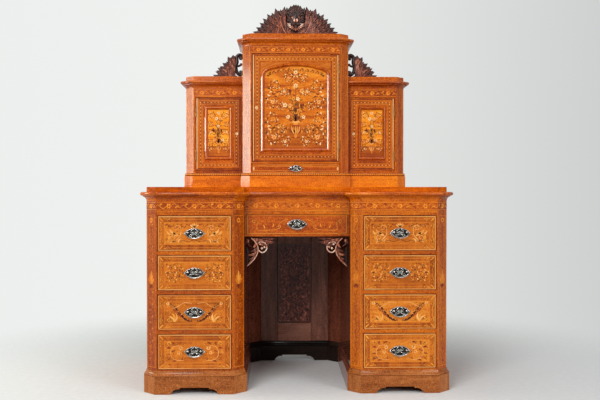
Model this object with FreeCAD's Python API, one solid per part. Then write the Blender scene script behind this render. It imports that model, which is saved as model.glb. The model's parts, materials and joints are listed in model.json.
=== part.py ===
import FreeCAD
import Part
import math
import os

# A breakfront pedestal desk with three cabinets on its top, in millimetres.
# X runs to the right, the front faces -Y, Z runs up from the floor.

Vector = FreeCAD.Vector

# Driving sizes of the base
DESK_HEIGHT = 780.0
BODY_WIDTH = 1146.0
BODY_DEPTH = 630.0
KNEEHOLE_WIDTH = 406.0
RECESS_DEPTH = 90.0
PEDESTAL_CANT = 40.0
TOP_THICKNESS = 19.0
EDGE_HEIGHT = 34.0
EDGE_PROJECTION = 23.0
SIDE_THICKNESS = 20.0
BACK_THICKNESS = 12.0
FLOOR_THICKNESS = 12.0
POST_DEPTH = 48.0
POST_FACE = 5.5
FRIEZE_HEIGHT = 54.0
FRIEZE_THICKNESS = 22.0
DRAWERS_PER_PEDESTAL = 4
RAIL_HEIGHT = 14.0

# Plinth under the pedestals, and the low gap cut between its feet
PLINTH_HEIGHT = 66.0
PLINTH_THICKNESS = 20.0
PLINTH_PROJECTION = 11.0
PLINTH_MOULDING_HEIGHT = 21.0
FOOT_GAP_WIDTH = 180.0
FOOT_GAP_TOP_WIDTH = 110.0
FOOT_GAP_HEIGHT = 25.0
FOOT_GAP_STEP = 6.0

# Kneehole
KNEEHOLE_CANT = 50.0
KNEEHOLE_DRAWER_HEIGHT = 75.0
KNEEHOLE_RAIL_HEIGHT = 10.0
KNEEHOLE_STILE = 8.0
KNEEHOLE_FRAME_THICKNESS = 22.0
KNEEHOLE_FRAME_STILE = 78.0
KNEEHOLE_FRAME_FOOT = 101.0
KNEEHOLE_PANEL_HEIGHT = 356.0
BRACKET_LENGTH = 128.0
BRACKET_DROP = 118.0
BRACKET_THICKNESS = 20.0

# Drawers
DRAWER_GAP = 1.5
DRAWER_LIFT = 0.3
DRAWER_FRONT = 20.0
DRAWER_SIDE = 10.0
DRAWER_BOTTOM = 6.0
DRAWER_BOTTOM_RAISE = 7.0
DRAWER_SIDE_DROP = 0.12
DRAWER_ROOM_BEHIND = 25.0
RUNNER_WIDTH = 14.0
GUIDE_HEIGHT = 22.0
GUIDE_CLEARANCE = 1.0

# Cabinets on the desk top
CABINETS_INSET = 108.0
CENTRE_SHARE = 444.0 / 1146.0
CENTRE_DEPTH = 300.0
SIDE_DEPTH = 230.0
CENTRE_CANT = 35.0
SIDE_CANT = 34.0
CABINET_POST_DEPTH = 40.0
CABINET_BOARD = 18.0
CABINET_BACK = 10.0
CABINET_PLINTH_HEIGHT = 46.0
CABINET_PLINTH_THICKNESS = 16.0
CABINET_PLINTH_PROJECTION = 8.0
BEAD_HEIGHT = 12.0
BEAD_PROJECTION = 7.0
CABINET_DRAWER_HEIGHT = 38.0
CENTRE_FLOOR = 8.0
SIDE_FLOOR = 13.0
SHELF_THICKNESS = 10.0
SHELF_SETBACK = 40.0
CENTRE_DOOR_HEIGHT = 449.0
SIDE_DOOR_HEIGHT = 308.0
SIDE_DOOR_STILE = 7.0
SIDE_POST_FACE = 9.0
CENTRE_FRIEZE = 35.0
SIDE_FRIEZE = 40.0
CORNICE_HEIGHT = 30.0
CORNICE_PROJECTION = 23.0
CABINET_TOP = 19.0

# Doors
DOOR_THICKNESS = 18.0
DOOR_GAP = 2.0
DOOR_STILE = 35.0
DOOR_FOOT_RAIL = 40.0
PANEL_THICKNESS = 8.0
PANEL_RECESS = 4.0
PANEL_MOULDING = 14.0
PANEL_MOULDING_RISE = 7.0
ARCH_RISE = 58.0
ARCH_SHOULDER = 40.0

# Door hinges, locks and keyholes
KNUCKLE_RADIUS = 3.0
KNUCKLE_CLEARANCE = 0.3
HINGE_LENGTH = 44.0
HINGE_INSET = 36.0
HINGE_KNUCKLES = 5
HINGE_LEAF = 15.0
HINGE_PIN_RADIUS = 1.5
PIN_CLEARANCE = 0.05
LEAF_CLEARANCE = 0.1
LOCK_WIDTH = 33.0
LOCK_HEIGHT = 46.0
LOCK_DEPTH = 10.0
BOLT_LENGTH = 22.0
BOLT_HEIGHT = 16.0
BOLT_THICKNESS = 6.0
BOLT_THROW = 6.0
BOLT_CLEARANCE = 0.3
SLOT_ROOM = 1.0
KEYHOLE_INSET = 17.0
ESCUTCHEON_RADIUS = 6.0
ESCUTCHEON_THICKNESS = 1.5
KEYHOLE_RADIUS = 2.0

# Pulls: a plate with two posts and a bail, in a large and a small size
PULL_WIDTH = 82.0
PULL_HEIGHT = 40.0
SMALL_PULL_WIDTH = 62.0
SMALL_PULL_HEIGHT = 28.0
PULL_PLATE = 2.0
PULL_CUSHION = 1.4
PULL_POST_SPREAD = 0.29
PULL_POST_RADIUS = 4.2
PULL_STANDOFF = 13.0
PULL_PIVOT_LIFT = 0.10
BAIL_RADIUS = 2.2
BAIL_CLEARANCE = 1.3

# Carved crests
CREST_END_GAP = 43.0
CENTRE_CREST_HEIGHT = 126.0
CENTRE_CREST_LEAVES = 7
SIDE_CREST_WIDTH = 130.0
SIDE_CREST_HEIGHT = 100.0
SIDE_CREST_LEAVES = 5
CREST_THICKNESS = 22.0
CREST_SETBACK = 14.0
CREST_BOSS_PROUD = 12.0

# Planes and levels that follow from them
FRONT = EDGE_PROJECTION - (BODY_DEPTH + EDGE_PROJECTION) / 2
BACK = FRONT + BODY_DEPTH
RECESS = FRONT + RECESS_DEPTH
CENTRE_FRONT = BACK - CENTRE_DEPTH
SIDE_FRONT = BACK - SIDE_DEPTH
KNEEHOLE_BACK = BACK - KNEEHOLE_FRAME_THICKNESS
HALF_BODY = BODY_WIDTH / 2
HALF_KNEE = KNEEHOLE_WIDTH / 2
HALF_CENTRE = HALF_BODY * CENTRE_SHARE
HALF_CABINETS = HALF_BODY - CABINETS_INSET
PEDESTAL_X = (HALF_BODY + HALF_KNEE) / 2
PEDESTAL_OPENING = HALF_BODY - HALF_KNEE - 2 * (PEDESTAL_CANT + POST_FACE)
TOP_UNDERSIDE = DESK_HEIGHT - TOP_THICKNESS
EDGE_UNDERSIDE = TOP_UNDERSIDE - EDGE_HEIGHT
DRAWERS_TOP = EDGE_UNDERSIDE - FRIEZE_HEIGHT
DRAWERS_BOTTOM = PLINTH_HEIGHT + FLOOR_THICKNESS + RAIL_HEIGHT
DRAWER_PITCH = (DRAWERS_TOP - DRAWERS_BOTTOM + RAIL_HEIGHT) / DRAWERS_PER_PEDESTAL
DRAWER_OPENING = DRAWER_PITCH - RAIL_HEIGHT
KNEE_DRAWER_TOP = DRAWERS_TOP
KNEE_DRAWER_BOTTOM = KNEE_DRAWER_TOP - KNEEHOLE_DRAWER_HEIGHT
KNEE_TOP = KNEE_DRAWER_BOTTOM - KNEEHOLE_RAIL_HEIGHT
BEAD_BOTTOM = DESK_HEIGHT + CABINET_PLINTH_HEIGHT
CABINET_BASE = BEAD_BOTTOM + BEAD_HEIGHT
CENTRE_DOOR_BOTTOM = CABINET_BASE + CABINET_DRAWER_HEIGHT + CENTRE_FLOOR
CENTRE_DOOR_TOP = CENTRE_DOOR_BOTTOM + CENTRE_DOOR_HEIGHT
CENTRE_BOX_TOP = CENTRE_DOOR_TOP + CENTRE_FRIEZE + CORNICE_HEIGHT
SIDE_DOOR_BOTTOM = CABINET_BASE + SIDE_FLOOR
SIDE_DOOR_TOP = SIDE_DOOR_BOTTOM + SIDE_DOOR_HEIGHT
SIDE_BOX_TOP = SIDE_DOOR_TOP + SIDE_FRIEZE + CORNICE_HEIGHT
CENTRE_OPENING = HALF_CENTRE - CENTRE_CANT - POST_FACE
SIDE_OPENING_INNER = HALF_CENTRE + SIDE_DOOR_STILE
SIDE_OPENING_OUTER = HALF_CABINETS - SIDE_CANT - SIDE_POST_FACE


# Shapes used by every sub-part
def box(x_range, y_range, z_range):
    """A board between two planes each way, whichever is given first."""
    x0, x1 = sorted(x_range)
    y0, y1 = sorted(y_range)
    z0, z1 = sorted(z_range)
    return Part.makeBox(x1 - x0, y1 - y0, z1 - z0, Vector(x0, y0, z0))


def prism(outline, z0, z1):
    """A solid with a plan outline of (x, y) points, from one level to another."""
    points = [Vector(x, y, z0) for x, y in outline]
    face = Part.Face(Part.makePolygon(points + points[:1]))
    return face.extrude(Vector(0, 0, z1 - z0))


def slab(wire, y0, y1):
    """A solid with an outline in the XZ plane, from one depth to another."""
    face = Part.Face(wire)
    face.translate(Vector(0, y0, 0))
    return face.extrude(Vector(0, y1 - y0, 0))


def upright_wire(steps):
    """A closed outline in the XZ plane: a pair of points is an arc through the first to the second."""
    edges = []
    here = steps[0]
    for step in steps[1:] + steps[:1]:
        start = Vector(here[0], 0, here[1])
        if isinstance(step[0], tuple):
            middle, end = step
            stop = Vector(end[0], 0, end[1])
            edges.append(Part.Arc(start, Vector(middle[0], 0, middle[1]), stop).toShape())
            here = end
        else:
            stop = Vector(step[0], 0, step[1])
            if stop.distanceToPoint(start) > 1e-6:
                edges.append(Part.makeLine(start, stop))
            here = step
    return Part.Wire(edges)


def rod(centre, direction, radius, length):
    """A round bar that starts at a point and runs along a direction."""
    return Part.makeCylinder(radius, length, centre, direction)


def leaf(base, tip, width, y0, y1):
    """A pointed leaf lying in the XZ plane between two depths, from base to tip."""
    along = (tip[0] - base[0], tip[1] - base[1])
    length = math.hypot(*along)
    across = (-along[1] / length * width / 2, along[0] / length * width / 2)
    middle = ((base[0] + tip[0]) / 2, (base[1] + tip[1]) / 2)
    high = (middle[0] + across[0], middle[1] + across[1])
    low = (middle[0] - across[0], middle[1] - across[1])
    return slab(upright_wire([base, (high, tip), (low, base)]), y0, y1)


def scroll(centre, radius, y0, y1):
    """A ring with an open eye, as a carved scroll shows it."""
    start = Vector(centre[0], y0, centre[1])
    ring = rod(start, Vector(0, 1, 0), radius, y1 - y0)
    return ring.cut(rod(start, Vector(0, 1, 0), radius / 2, y1 - y0))


def save(name, solids):
    """Writes one node with its separate solids."""
    Part.makeCompound(solids).exportStep(f"parts/{name}.step")
    print(name, len(solids))


# Mouldings and plinth boards, in mitred lengths round a plan outline
def run_offset(before, after):
    """How far a corner moves for each millimetre of projection, from the directions of two runs."""
    normals = [(run[1], -run[0]) for run in (before, after)]
    scale = 1 + normals[0][0] * normals[1][0] + normals[0][1] * normals[1][1]
    return [(normals[0][i] + normals[1][i]) / scale for i in range(2)]


def mitred_lengths(path, profile, z):
    """One length for each run of the path, with a profile of (outward, up) points, cut at the mitres."""
    runs = []
    for start, end in zip(path, path[1:]):
        length = math.dist(start, end)
        runs.append(((end[0] - start[0]) / length, (end[1] - start[1]) / length))
    offsets = [run_offset(runs[max(i - 1, 0)], runs[min(i, len(runs) - 1)]) for i in range(len(path))]
    points = [point for step in profile for point in (step if isinstance(step[0], tuple) else (step,))]
    reach = 1.2 * max(abs(outward) for outward, up in points)
    top = max(up for outward, up in points)
    lengths = []
    for i, run in enumerate(runs):
        section = upright_wire(profile)
        turn = math.degrees(math.atan2(-run[0], run[1]))
        section.rotate(Vector(0, 0, 0), Vector(0, 0, 1), turn)
        section.translate(Vector(path[i][0] - reach * run[0], path[i][1] - reach * run[1], z))
        whole = math.dist(path[i], path[i + 1]) + 2 * reach
        bar = Part.Face(section).extrude(Vector(run[0] * whole, run[1] * whole, 0))
        ends = [[path[j][k] + side * reach * offsets[j][k] for k in range(2)]
                for j, side in ((i, 1), (i + 1, 1), (i + 1, -1), (i, -1))]
        lengths.append(bar.common(prism(ends, z - 1, z + top + 1)).Solids[0])
    return lengths


def mirror_path(half):
    """A plan outline from left to right, from its left half that runs from the back to the middle."""
    return half + [(-x, y) for x, y in reversed(half)]


def pedestal_corners():
    """The left pedestal's plan outline, from its outer back corner to the kneehole."""
    return [(-HALF_BODY, BACK), (-HALF_BODY, FRONT + PEDESTAL_CANT), (-HALF_BODY + PEDESTAL_CANT, FRONT),
            (-HALF_KNEE - PEDESTAL_CANT, FRONT), (-HALF_KNEE, FRONT + PEDESTAL_CANT)]


def top_path():
    return mirror_path(pedestal_corners() + [(-HALF_KNEE, RECESS)])


def plinth_path():
    return mirror_path(pedestal_corners() + [(-HALF_KNEE, KNEEHOLE_BACK - KNEEHOLE_CANT),
                                             (-HALF_KNEE + KNEEHOLE_CANT, KNEEHOLE_BACK)])


def side_cabinet_path():
    """The left cabinet's plan outline, from its back corner to the centre cabinet."""
    return [(-HALF_CABINETS, BACK), (-HALF_CABINETS, SIDE_FRONT + SIDE_CANT),
            (-HALF_CABINETS + SIDE_CANT, SIDE_FRONT), (-HALF_CENTRE, SIDE_FRONT)]


def centre_corners():
    return [(-HALF_CENTRE, CENTRE_FRONT + CENTRE_CANT), (-HALF_CENTRE + CENTRE_CANT, CENTRE_FRONT)]


def right_of(path):
    """The same outline on the right, still running from left to right."""
    return [(-x, y) for x, y in reversed(path)]


def quarter(centre, radius, degrees):
    """A point on a circle in a profile."""
    angle = math.radians(degrees)
    return (centre[0] + radius * math.cos(angle), centre[1] + radius * math.sin(angle))


def edge_profile():
    """The desk top's edge: a tall hollow, a fillet, then a slim round."""
    depth = EDGE_PROJECTION * 0.58
    rise = EDGE_HEIGHT * 0.50
    fillet = EDGE_HEIGHT * 0.08
    round_radius = (EDGE_HEIGHT - rise - fillet) / 2
    round_start = EDGE_PROJECTION - round_radius
    round_centre = (round_start, EDGE_HEIGHT - round_radius)
    return [(0.0, 0.0), ((depth * 0.32, rise * 0.65), (depth, rise)), (depth, rise + fillet),
            (round_start, rise + fillet),
            (quarter(round_centre, round_radius, 0), (round_start, EDGE_HEIGHT)), (0.0, EDGE_HEIGHT)]


def plinth_profile():
    return [(PLINTH_PROJECTION - PLINTH_THICKNESS, 0.0), (PLINTH_PROJECTION, 0.0),
            (PLINTH_PROJECTION, PLINTH_HEIGHT), (PLINTH_PROJECTION - PLINTH_THICKNESS, PLINTH_HEIGHT)]


def plinth_moulding_profile():
    """A round over the plinth, then a hollow up to the body."""
    lip = PLINTH_MOULDING_HEIGHT * 0.35
    hollow = PLINTH_PROJECTION * 0.8
    height = PLINTH_MOULDING_HEIGHT
    middle = (PLINTH_PROJECTION - hollow * 0.75, lip + (height - lip) * 0.35)
    return [(0.0, 0.0), (PLINTH_PROJECTION - lip / 2, 0.0),
            ((PLINTH_PROJECTION, lip / 2), (PLINTH_PROJECTION - lip / 2, lip)),
            (middle, (PLINTH_PROJECTION - hollow, height)), (0.0, height)]


def cabinet_plinth_profile():
    inner = CABINET_PLINTH_PROJECTION - CABINET_PLINTH_THICKNESS
    return [(inner, 0.0), (CABINET_PLINTH_PROJECTION, 0.0),
            (CABINET_PLINTH_PROJECTION, CABINET_PLINTH_HEIGHT), (inner, CABINET_PLINTH_HEIGHT)]


def bead_profile():
    """A half-round bead on a small fillet."""
    rest = BEAD_PROJECTION * 0.3
    return [(0.0, 0.0), (rest, 0.0), ((BEAD_PROJECTION, BEAD_HEIGHT / 2), (rest, BEAD_HEIGHT)),
            (0.0, BEAD_HEIGHT)]


def cornice_profile():
    """A deep cove up to a fillet, then a round under the top board."""
    cove = CORNICE_PROJECTION * 0.6
    fillet = CORNICE_HEIGHT * 0.12
    round_height = CORNICE_HEIGHT - cove - fillet
    round_start = CORNICE_PROJECTION - round_height / 2
    middle = (CORNICE_PROJECTION, CORNICE_HEIGHT - round_height / 2)
    return [(0.0, 0.0), (quarter((cove, 0.0), cove, 135), (cove, cove)), (cove, cove + fillet),
            (round_start, cove + fillet), (middle, (round_start, CORNICE_HEIGHT)), (0.0, CORNICE_HEIGHT)]


# Base: top, pedestals and plinth
def desk_top():
    outline = top_path()
    return [prism(outline, TOP_UNDERSIDE, DESK_HEIGHT)]


def corner_post(side, edge_x, corner_x, front, cant, depth, z_range):
    """A post with a canted outer corner, beside an opening whose edge is at edge_x."""
    towards = math.copysign(1, corner_x - edge_x)
    outline = [(edge_x, front), (corner_x - towards * cant, front), (corner_x, front + cant),
               (corner_x, front + depth), (edge_x, front + depth)]
    return prism([(side * x, y) for x, y in outline], *z_range)


def pedestal_posts():
    posts = []
    for side in (-1, 1):
        for corner_x in (HALF_KNEE, HALF_BODY):
            edge_x = PEDESTAL_X + math.copysign(PEDESTAL_OPENING / 2, corner_x - PEDESTAL_X)
            posts.append(corner_post(side, edge_x, corner_x, FRONT, PEDESTAL_CANT, POST_DEPTH,
                                     (PLINTH_HEIGHT, TOP_UNDERSIDE)))
        corner = [(HALF_KNEE, KNEEHOLE_BACK - KNEEHOLE_CANT), (HALF_KNEE, BACK),
                  (HALF_KNEE - KNEEHOLE_CANT, BACK), (HALF_KNEE - KNEEHOLE_CANT, KNEEHOLE_BACK)]
        posts.append(prism([(side * x, y) for x, y in corner], PLINTH_HEIGHT, TOP_UNDERSIDE))
    return posts


def pedestal_boards():
    """The sides behind the posts, and the floors between them."""
    boards = []
    deep = (FRONT + POST_DEPTH, BACK)
    tall = (PLINTH_HEIGHT, TOP_UNDERSIDE)
    inner = HALF_KNEE + SIDE_THICKNESS
    outer = HALF_BODY - SIDE_THICKNESS
    for side in (-1, 1):
        boards.append(box((side * HALF_KNEE, side * inner), deep, tall))
        boards.append(box((side * outer, side * HALF_BODY), deep, tall))
        boards.append(box((side * inner, side * outer), (deep[0], BACK - BACK_THICKNESS),
                          (PLINTH_HEIGHT, PLINTH_HEIGHT + FLOOR_THICKNESS)))
    return boards


def drawer_floor(level):
    """Height of the rail that a pedestal drawer runs over, counted from the top drawer."""
    return DRAWERS_TOP - DRAWER_OPENING - level * DRAWER_PITCH


def drawer_rails():
    rails = []
    for side in (-1, 1):
        x_range = [side * (PEDESTAL_X + end * PEDESTAL_OPENING / 2) for end in (-1, 1)]
        for level in range(DRAWERS_PER_PEDESTAL):
            top = drawer_floor(level)
            last = level == DRAWERS_PER_PEDESTAL - 1
            bottom = PLINTH_HEIGHT if last else top - RAIL_HEIGHT
            rails.append(box(x_range, (FRONT, FRONT + POST_DEPTH), (bottom, top)))
        rails.append(box((side * HALF_KNEE, side * (HALF_KNEE - KNEEHOLE_STILE)),
                         (RECESS, RECESS + FRIEZE_THICKNESS), (KNEE_DRAWER_BOTTOM, KNEE_DRAWER_TOP)))
    rails.append(box((-HALF_KNEE, HALF_KNEE), (RECESS, RECESS + POST_DEPTH), (KNEE_TOP, KNEE_DRAWER_BOTTOM)))
    return rails


def runner_pair(side, wall_x, edge_x, y_range, floor, runner_height, guide_height):
    """A runner under a drawer's side and a guide beside it, both fixed to a wall."""
    towards = math.copysign(1, edge_x - wall_x)
    bearing = edge_x + towards * RUNNER_WIDTH
    guide = edge_x - towards * (GUIDE_CLEARANCE - DRAWER_GAP)
    return [box((side * wall_x, side * bearing), y_range, (floor - runner_height, floor)),
            box((side * wall_x, side * guide), y_range, (floor, floor + guide_height))]


def drawer_runners():
    runners = []
    pedestal_range = (FRONT + POST_DEPTH, BACK - BACK_THICKNESS)
    knee_range = (RECESS + POST_DEPTH, KNEEHOLE_BACK - KNEEHOLE_CANT)
    cabinet_range = (CENTRE_FRONT + CABINET_POST_DEPTH, BACK - CABINET_BACK)
    for side in (-1, 1):
        for wall_x in (HALF_KNEE + SIDE_THICKNESS, HALF_BODY - SIDE_THICKNESS):
            edge_x = PEDESTAL_X + math.copysign(PEDESTAL_OPENING / 2, wall_x - PEDESTAL_X)
            for level in range(DRAWERS_PER_PEDESTAL):
                runners += runner_pair(side, wall_x, edge_x, pedestal_range, drawer_floor(level),
                                       RAIL_HEIGHT, GUIDE_HEIGHT)
        runners += runner_pair(side, HALF_KNEE, HALF_KNEE - KNEEHOLE_STILE, knee_range,
                               KNEE_DRAWER_BOTTOM, KNEEHOLE_RAIL_HEIGHT, GUIDE_HEIGHT)
        guide = CENTRE_OPENING - DRAWER_GAP + GUIDE_CLEARANCE
        runners.append(box((side * (HALF_CENTRE - CABINET_BOARD), side * guide), cabinet_range,
                           (CABINET_BASE, CABINET_BASE + GUIDE_HEIGHT)))
    return runners


def frieze_boards():
    """The boards over the drawers of the base and over the cabinet doors."""
    boards = []
    deep = (FRONT, FRONT + FRIEZE_THICKNESS)
    for side in (-1, 1):
        x_range = [side * (PEDESTAL_X + end * PEDESTAL_OPENING / 2) for end in (-1, 1)]
        boards.append(box(x_range, deep, (DRAWERS_TOP, TOP_UNDERSIDE)))
        boards.append(box((side * HALF_CENTRE, side * SIDE_OPENING_OUTER),
                          (SIDE_FRONT, SIDE_FRONT + FRIEZE_THICKNESS), (SIDE_DOOR_TOP, SIDE_BOX_TOP)))
    boards.append(box((-HALF_KNEE, HALF_KNEE), (RECESS, RECESS + FRIEZE_THICKNESS),
                      (KNEE_DRAWER_TOP, TOP_UNDERSIDE)))
    boards.append(box((-CENTRE_OPENING, CENTRE_OPENING), (CENTRE_FRONT, CENTRE_FRONT + FRIEZE_THICKNESS),
                      (CENTRE_DOOR_TOP, CENTRE_BOX_TOP)))
    return boards


def foot_gap(x, y0, y1):
    """The low opening between two feet of the plinth, with a stepped and rounded top."""
    low = FOOT_GAP_WIDTH / 2
    high = FOOT_GAP_TOP_WIDTH / 2
    lip = FOOT_GAP_HEIGHT - FOOT_GAP_STEP
    bulge = (high + (low - high) * math.sqrt(0.5), lip * math.sqrt(0.5))
    steps = [(x - low, 0.0), ((x - bulge[0], bulge[1]), (x - high, lip)), (x - high, FOOT_GAP_HEIGHT),
             (x + high, FOOT_GAP_HEIGHT), (x + high, lip), ((x + bulge[0], bulge[1]), (x + low, 0.0))]
    return slab(upright_wire(steps), y0, y1)


def base_plinth():
    """Plinth boards with a foot gap in each one that faces the front, their moulding, and rear boards."""
    path = plinth_path()
    boards = mitred_lengths(path, plinth_profile(), 0.0)
    for i, (start, end) in enumerate(zip(path, path[1:])):
        if start[1] == end[1]:
            gap = foot_gap((start[0] + end[0]) / 2, start[1] - PLINTH_THICKNESS, start[1] + PLINTH_THICKNESS)
            boards[i] = boards[i].cut(gap).Solids[0]
    inner = HALF_KNEE - PLINTH_PROJECTION + PLINTH_THICKNESS
    outer = HALF_BODY + PLINTH_PROJECTION - PLINTH_THICKNESS
    for side in (-1, 1):
        boards.append(box((side * inner, side * outer), (BACK - PLINTH_THICKNESS, BACK),
                          (0.0, PLINTH_HEIGHT)))
    return boards + mitred_lengths(path, plinth_moulding_profile(), PLINTH_HEIGHT)


def back_panels():
    panels = []
    base = (BACK - BACK_THICKNESS, BACK)
    cabinet = (BACK - CABINET_BACK, BACK)
    for side in (-1, 1):
        panels.append(box((side * (HALF_KNEE + SIDE_THICKNESS), side * (HALF_BODY - SIDE_THICKNESS)), base,
                          (PLINTH_HEIGHT, TOP_UNDERSIDE)))
        panels.append(box((side * HALF_CENTRE, side * (HALF_CABINETS - CABINET_BOARD)), cabinet,
                          (DESK_HEIGHT, SIDE_BOX_TOP)))
    inside = HALF_CENTRE - CABINET_BOARD
    panels.append(box((-inside, inside), cabinet, (DESK_HEIGHT, CENTRE_BOX_TOP)))
    return panels


# Kneehole: the framed back and the carved brackets
def kneehole_levels():
    """The panel's lower and upper edge."""
    bottom = PLINTH_HEIGHT + KNEEHOLE_FRAME_FOOT
    return bottom, bottom + KNEEHOLE_PANEL_HEIGHT


def kneehole_back_frame():
    deep = (KNEEHOLE_BACK, BACK)
    outer = HALF_KNEE - KNEEHOLE_CANT
    inner = outer - KNEEHOLE_FRAME_STILE
    bottom, top = kneehole_levels()
    frame = [box((side * inner, side * outer), deep, (PLINTH_HEIGHT, TOP_UNDERSIDE)) for side in (-1, 1)]
    frame.append(box((-inner, inner), deep, (PLINTH_HEIGHT, bottom)))
    frame.append(box((-inner, inner), deep, (top, TOP_UNDERSIDE)))
    return frame


def kneehole_back_panel():
    inner = HALF_KNEE - KNEEHOLE_CANT - KNEEHOLE_FRAME_STILE
    recess = KNEEHOLE_FRAME_THICKNESS / 2
    return [box((-inner, inner), (KNEEHOLE_BACK + recess, BACK), kneehole_levels())]


def kneehole_bracket(side):
    """A carved bracket in the corner under the drawer: a curved spine, leaves and an open scroll."""
    y0 = RECESS + PANEL_RECESS
    y1 = y0 + BRACKET_THICKNESS

    def at(along, down):
        return (side * (HALF_KNEE - along * BRACKET_LENGTH), KNEE_TOP - down * BRACKET_DROP)

    spine = upright_wire([at(0, 0), at(0.85, 0), (at(0.30, 0.30), at(0, 0.85))])
    carving = [slab(spine, y0, y1)]
    carving.append(leaf(at(0.35, 0.10), at(1.0, 0.02), BRACKET_DROP * 0.16, y0, y1))
    carving.append(leaf(at(0.35, 0.08), at(0.86, 0.24), BRACKET_DROP * 0.22, y0, y1))
    carving.append(leaf(at(0.08, 0.35), at(0.02, 1.0), BRACKET_LENGTH * 0.16, y0, y1))
    carving.append(leaf(at(0.10, 0.25), at(0.24, 0.80), BRACKET_LENGTH * 0.24, y0, y1))
    carving.append(scroll(at(0.46, 0.36), BRACKET_LENGTH * 0.15, y0, y1))
    whole = carving[0].multiFuse(carving[1:])
    room = box((side * HALF_KNEE, side * (HALF_KNEE - BRACKET_LENGTH)), (y0 - 1, y1 + 1),
               (KNEE_TOP, KNEE_TOP - BRACKET_DROP))
    return whole.common(room).Solids[0]


# Cabinets on the desk top
def bolt_slot(edge_x, towards, front, z):
    """The mortise that a door's bolt enters, cut into the post at the door's free edge."""
    lock_middle = front + DOOR_THICKNESS + LOCK_DEPTH / 2
    y_range = [lock_middle + end * (BOLT_THICKNESS / 2 + SLOT_ROOM) for end in (-1, 1)]
    z_range = [z + end * (BOLT_HEIGHT / 2 + SLOT_ROOM) for end in (-1, 1)]
    depth = BOLT_THROW - DOOR_GAP + SLOT_ROOM
    return box((edge_x - towards, edge_x + towards * depth), y_range, z_range)


def middle(z_range):
    return sum(z_range) / 2


def cabinet_posts():
    """Canted posts at the cabinets' outer corners, and the stiles beside the centre cabinet."""
    posts = []
    centre_mid = middle((CENTRE_DOOR_BOTTOM, CENTRE_DOOR_TOP))
    side_mid = middle((SIDE_DOOR_BOTTOM, SIDE_DOOR_TOP))
    for side in (-1, 1):
        centre = corner_post(side, CENTRE_OPENING, HALF_CENTRE, CENTRE_FRONT, CENTRE_CANT,
                             CABINET_POST_DEPTH, (BEAD_BOTTOM, CENTRE_BOX_TOP))
        if side < 0:
            centre = centre.cut(bolt_slot(-CENTRE_OPENING, -1, CENTRE_FRONT, centre_mid))
        posts.append(centre)
        posts.append(corner_post(side, SIDE_OPENING_OUTER, HALF_CABINETS, SIDE_FRONT, SIDE_CANT,
                                 CABINET_POST_DEPTH, (BEAD_BOTTOM, SIDE_BOX_TOP)))
        stile = box((side * HALF_CENTRE, side * SIDE_OPENING_INNER),
                    (SIDE_FRONT, SIDE_FRONT + CABINET_POST_DEPTH), (SIDE_DOOR_BOTTOM, SIDE_DOOR_TOP))
        posts.append(stile.cut(bolt_slot(side * SIDE_OPENING_INNER, -side, SIDE_FRONT, side_mid)))
    return posts


def cabinet_boards():
    """Sides, floors, shelves and flat tops of the three cabinets."""
    boards = []
    inside = HALF_CENTRE - CABINET_BOARD
    behind = BACK - CABINET_BACK
    centre_deep = (CENTRE_FRONT + CABINET_POST_DEPTH, BACK)
    side_deep = (SIDE_FRONT + CABINET_POST_DEPTH, BACK)
    centre_mid = middle((CENTRE_DOOR_BOTTOM, CENTRE_BOX_TOP))
    side_mid = middle((SIDE_DOOR_BOTTOM, SIDE_BOX_TOP))
    shelf = (-SHELF_THICKNESS / 2, SHELF_THICKNESS / 2)
    for side in (-1, 1):
        boards.append(box((side * inside, side * HALF_CENTRE), centre_deep, (BEAD_BOTTOM, CENTRE_BOX_TOP)))
        wall = HALF_CABINETS - CABINET_BOARD
        boards.append(box((side * wall, side * HALF_CABINETS), side_deep, (BEAD_BOTTOM, SIDE_BOX_TOP)))
        boards.append(box((side * HALF_CENTRE, side * SIDE_OPENING_OUTER),
                          (SIDE_FRONT, SIDE_FRONT + CABINET_POST_DEPTH), (BEAD_BOTTOM, SIDE_DOOR_BOTTOM)))
        boards.append(box((side * HALF_CENTRE, side * wall), (side_deep[0], behind),
                          (SIDE_DOOR_BOTTOM - CABINET_BOARD, SIDE_DOOR_BOTTOM)))
        boards.append(box((side * HALF_CENTRE, side * wall), (side_deep[0] + SHELF_SETBACK, behind),
                          [side_mid + edge for edge in shelf]))
        outline = side_cabinet_path() + [(-HALF_CENTRE, BACK)]
        boards.append(prism([(-side * x, y) for x, y in outline], SIDE_BOX_TOP, SIDE_BOX_TOP + CABINET_TOP))
    boards.append(box((-CENTRE_OPENING, CENTRE_OPENING), (CENTRE_FRONT, centre_deep[0]),
                      (BEAD_BOTTOM, CABINET_BASE)))
    boards.append(box((-inside, inside), (centre_deep[0], behind), (BEAD_BOTTOM, CABINET_BASE)))
    floor = (CENTRE_DOOR_BOTTOM - CENTRE_FLOOR, CENTRE_DOOR_BOTTOM)
    boards.append(box((-CENTRE_OPENING, CENTRE_OPENING), (CENTRE_FRONT, centre_deep[0]), floor))
    boards.append(box((-inside, inside), (centre_deep[0], behind), floor))
    boards.append(box((-inside, inside), (centre_deep[0] + SHELF_SETBACK, behind),
                      [centre_mid + edge for edge in shelf]))
    outline = [(-HALF_CENTRE, BACK)] + centre_corners()
    boards.append(prism(mirror_path(outline), CENTRE_BOX_TOP, CENTRE_BOX_TOP + CABINET_TOP))
    return boards


def cabinet_plinth():
    """The plinth on the desk top, and the bead that runs over it."""
    path = mirror_path(side_cabinet_path() + centre_corners())
    return mitred_lengths(path, cabinet_plinth_profile(), DESK_HEIGHT) + \
        mitred_lengths(path, bead_profile(), BEAD_BOTTOM)


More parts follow.
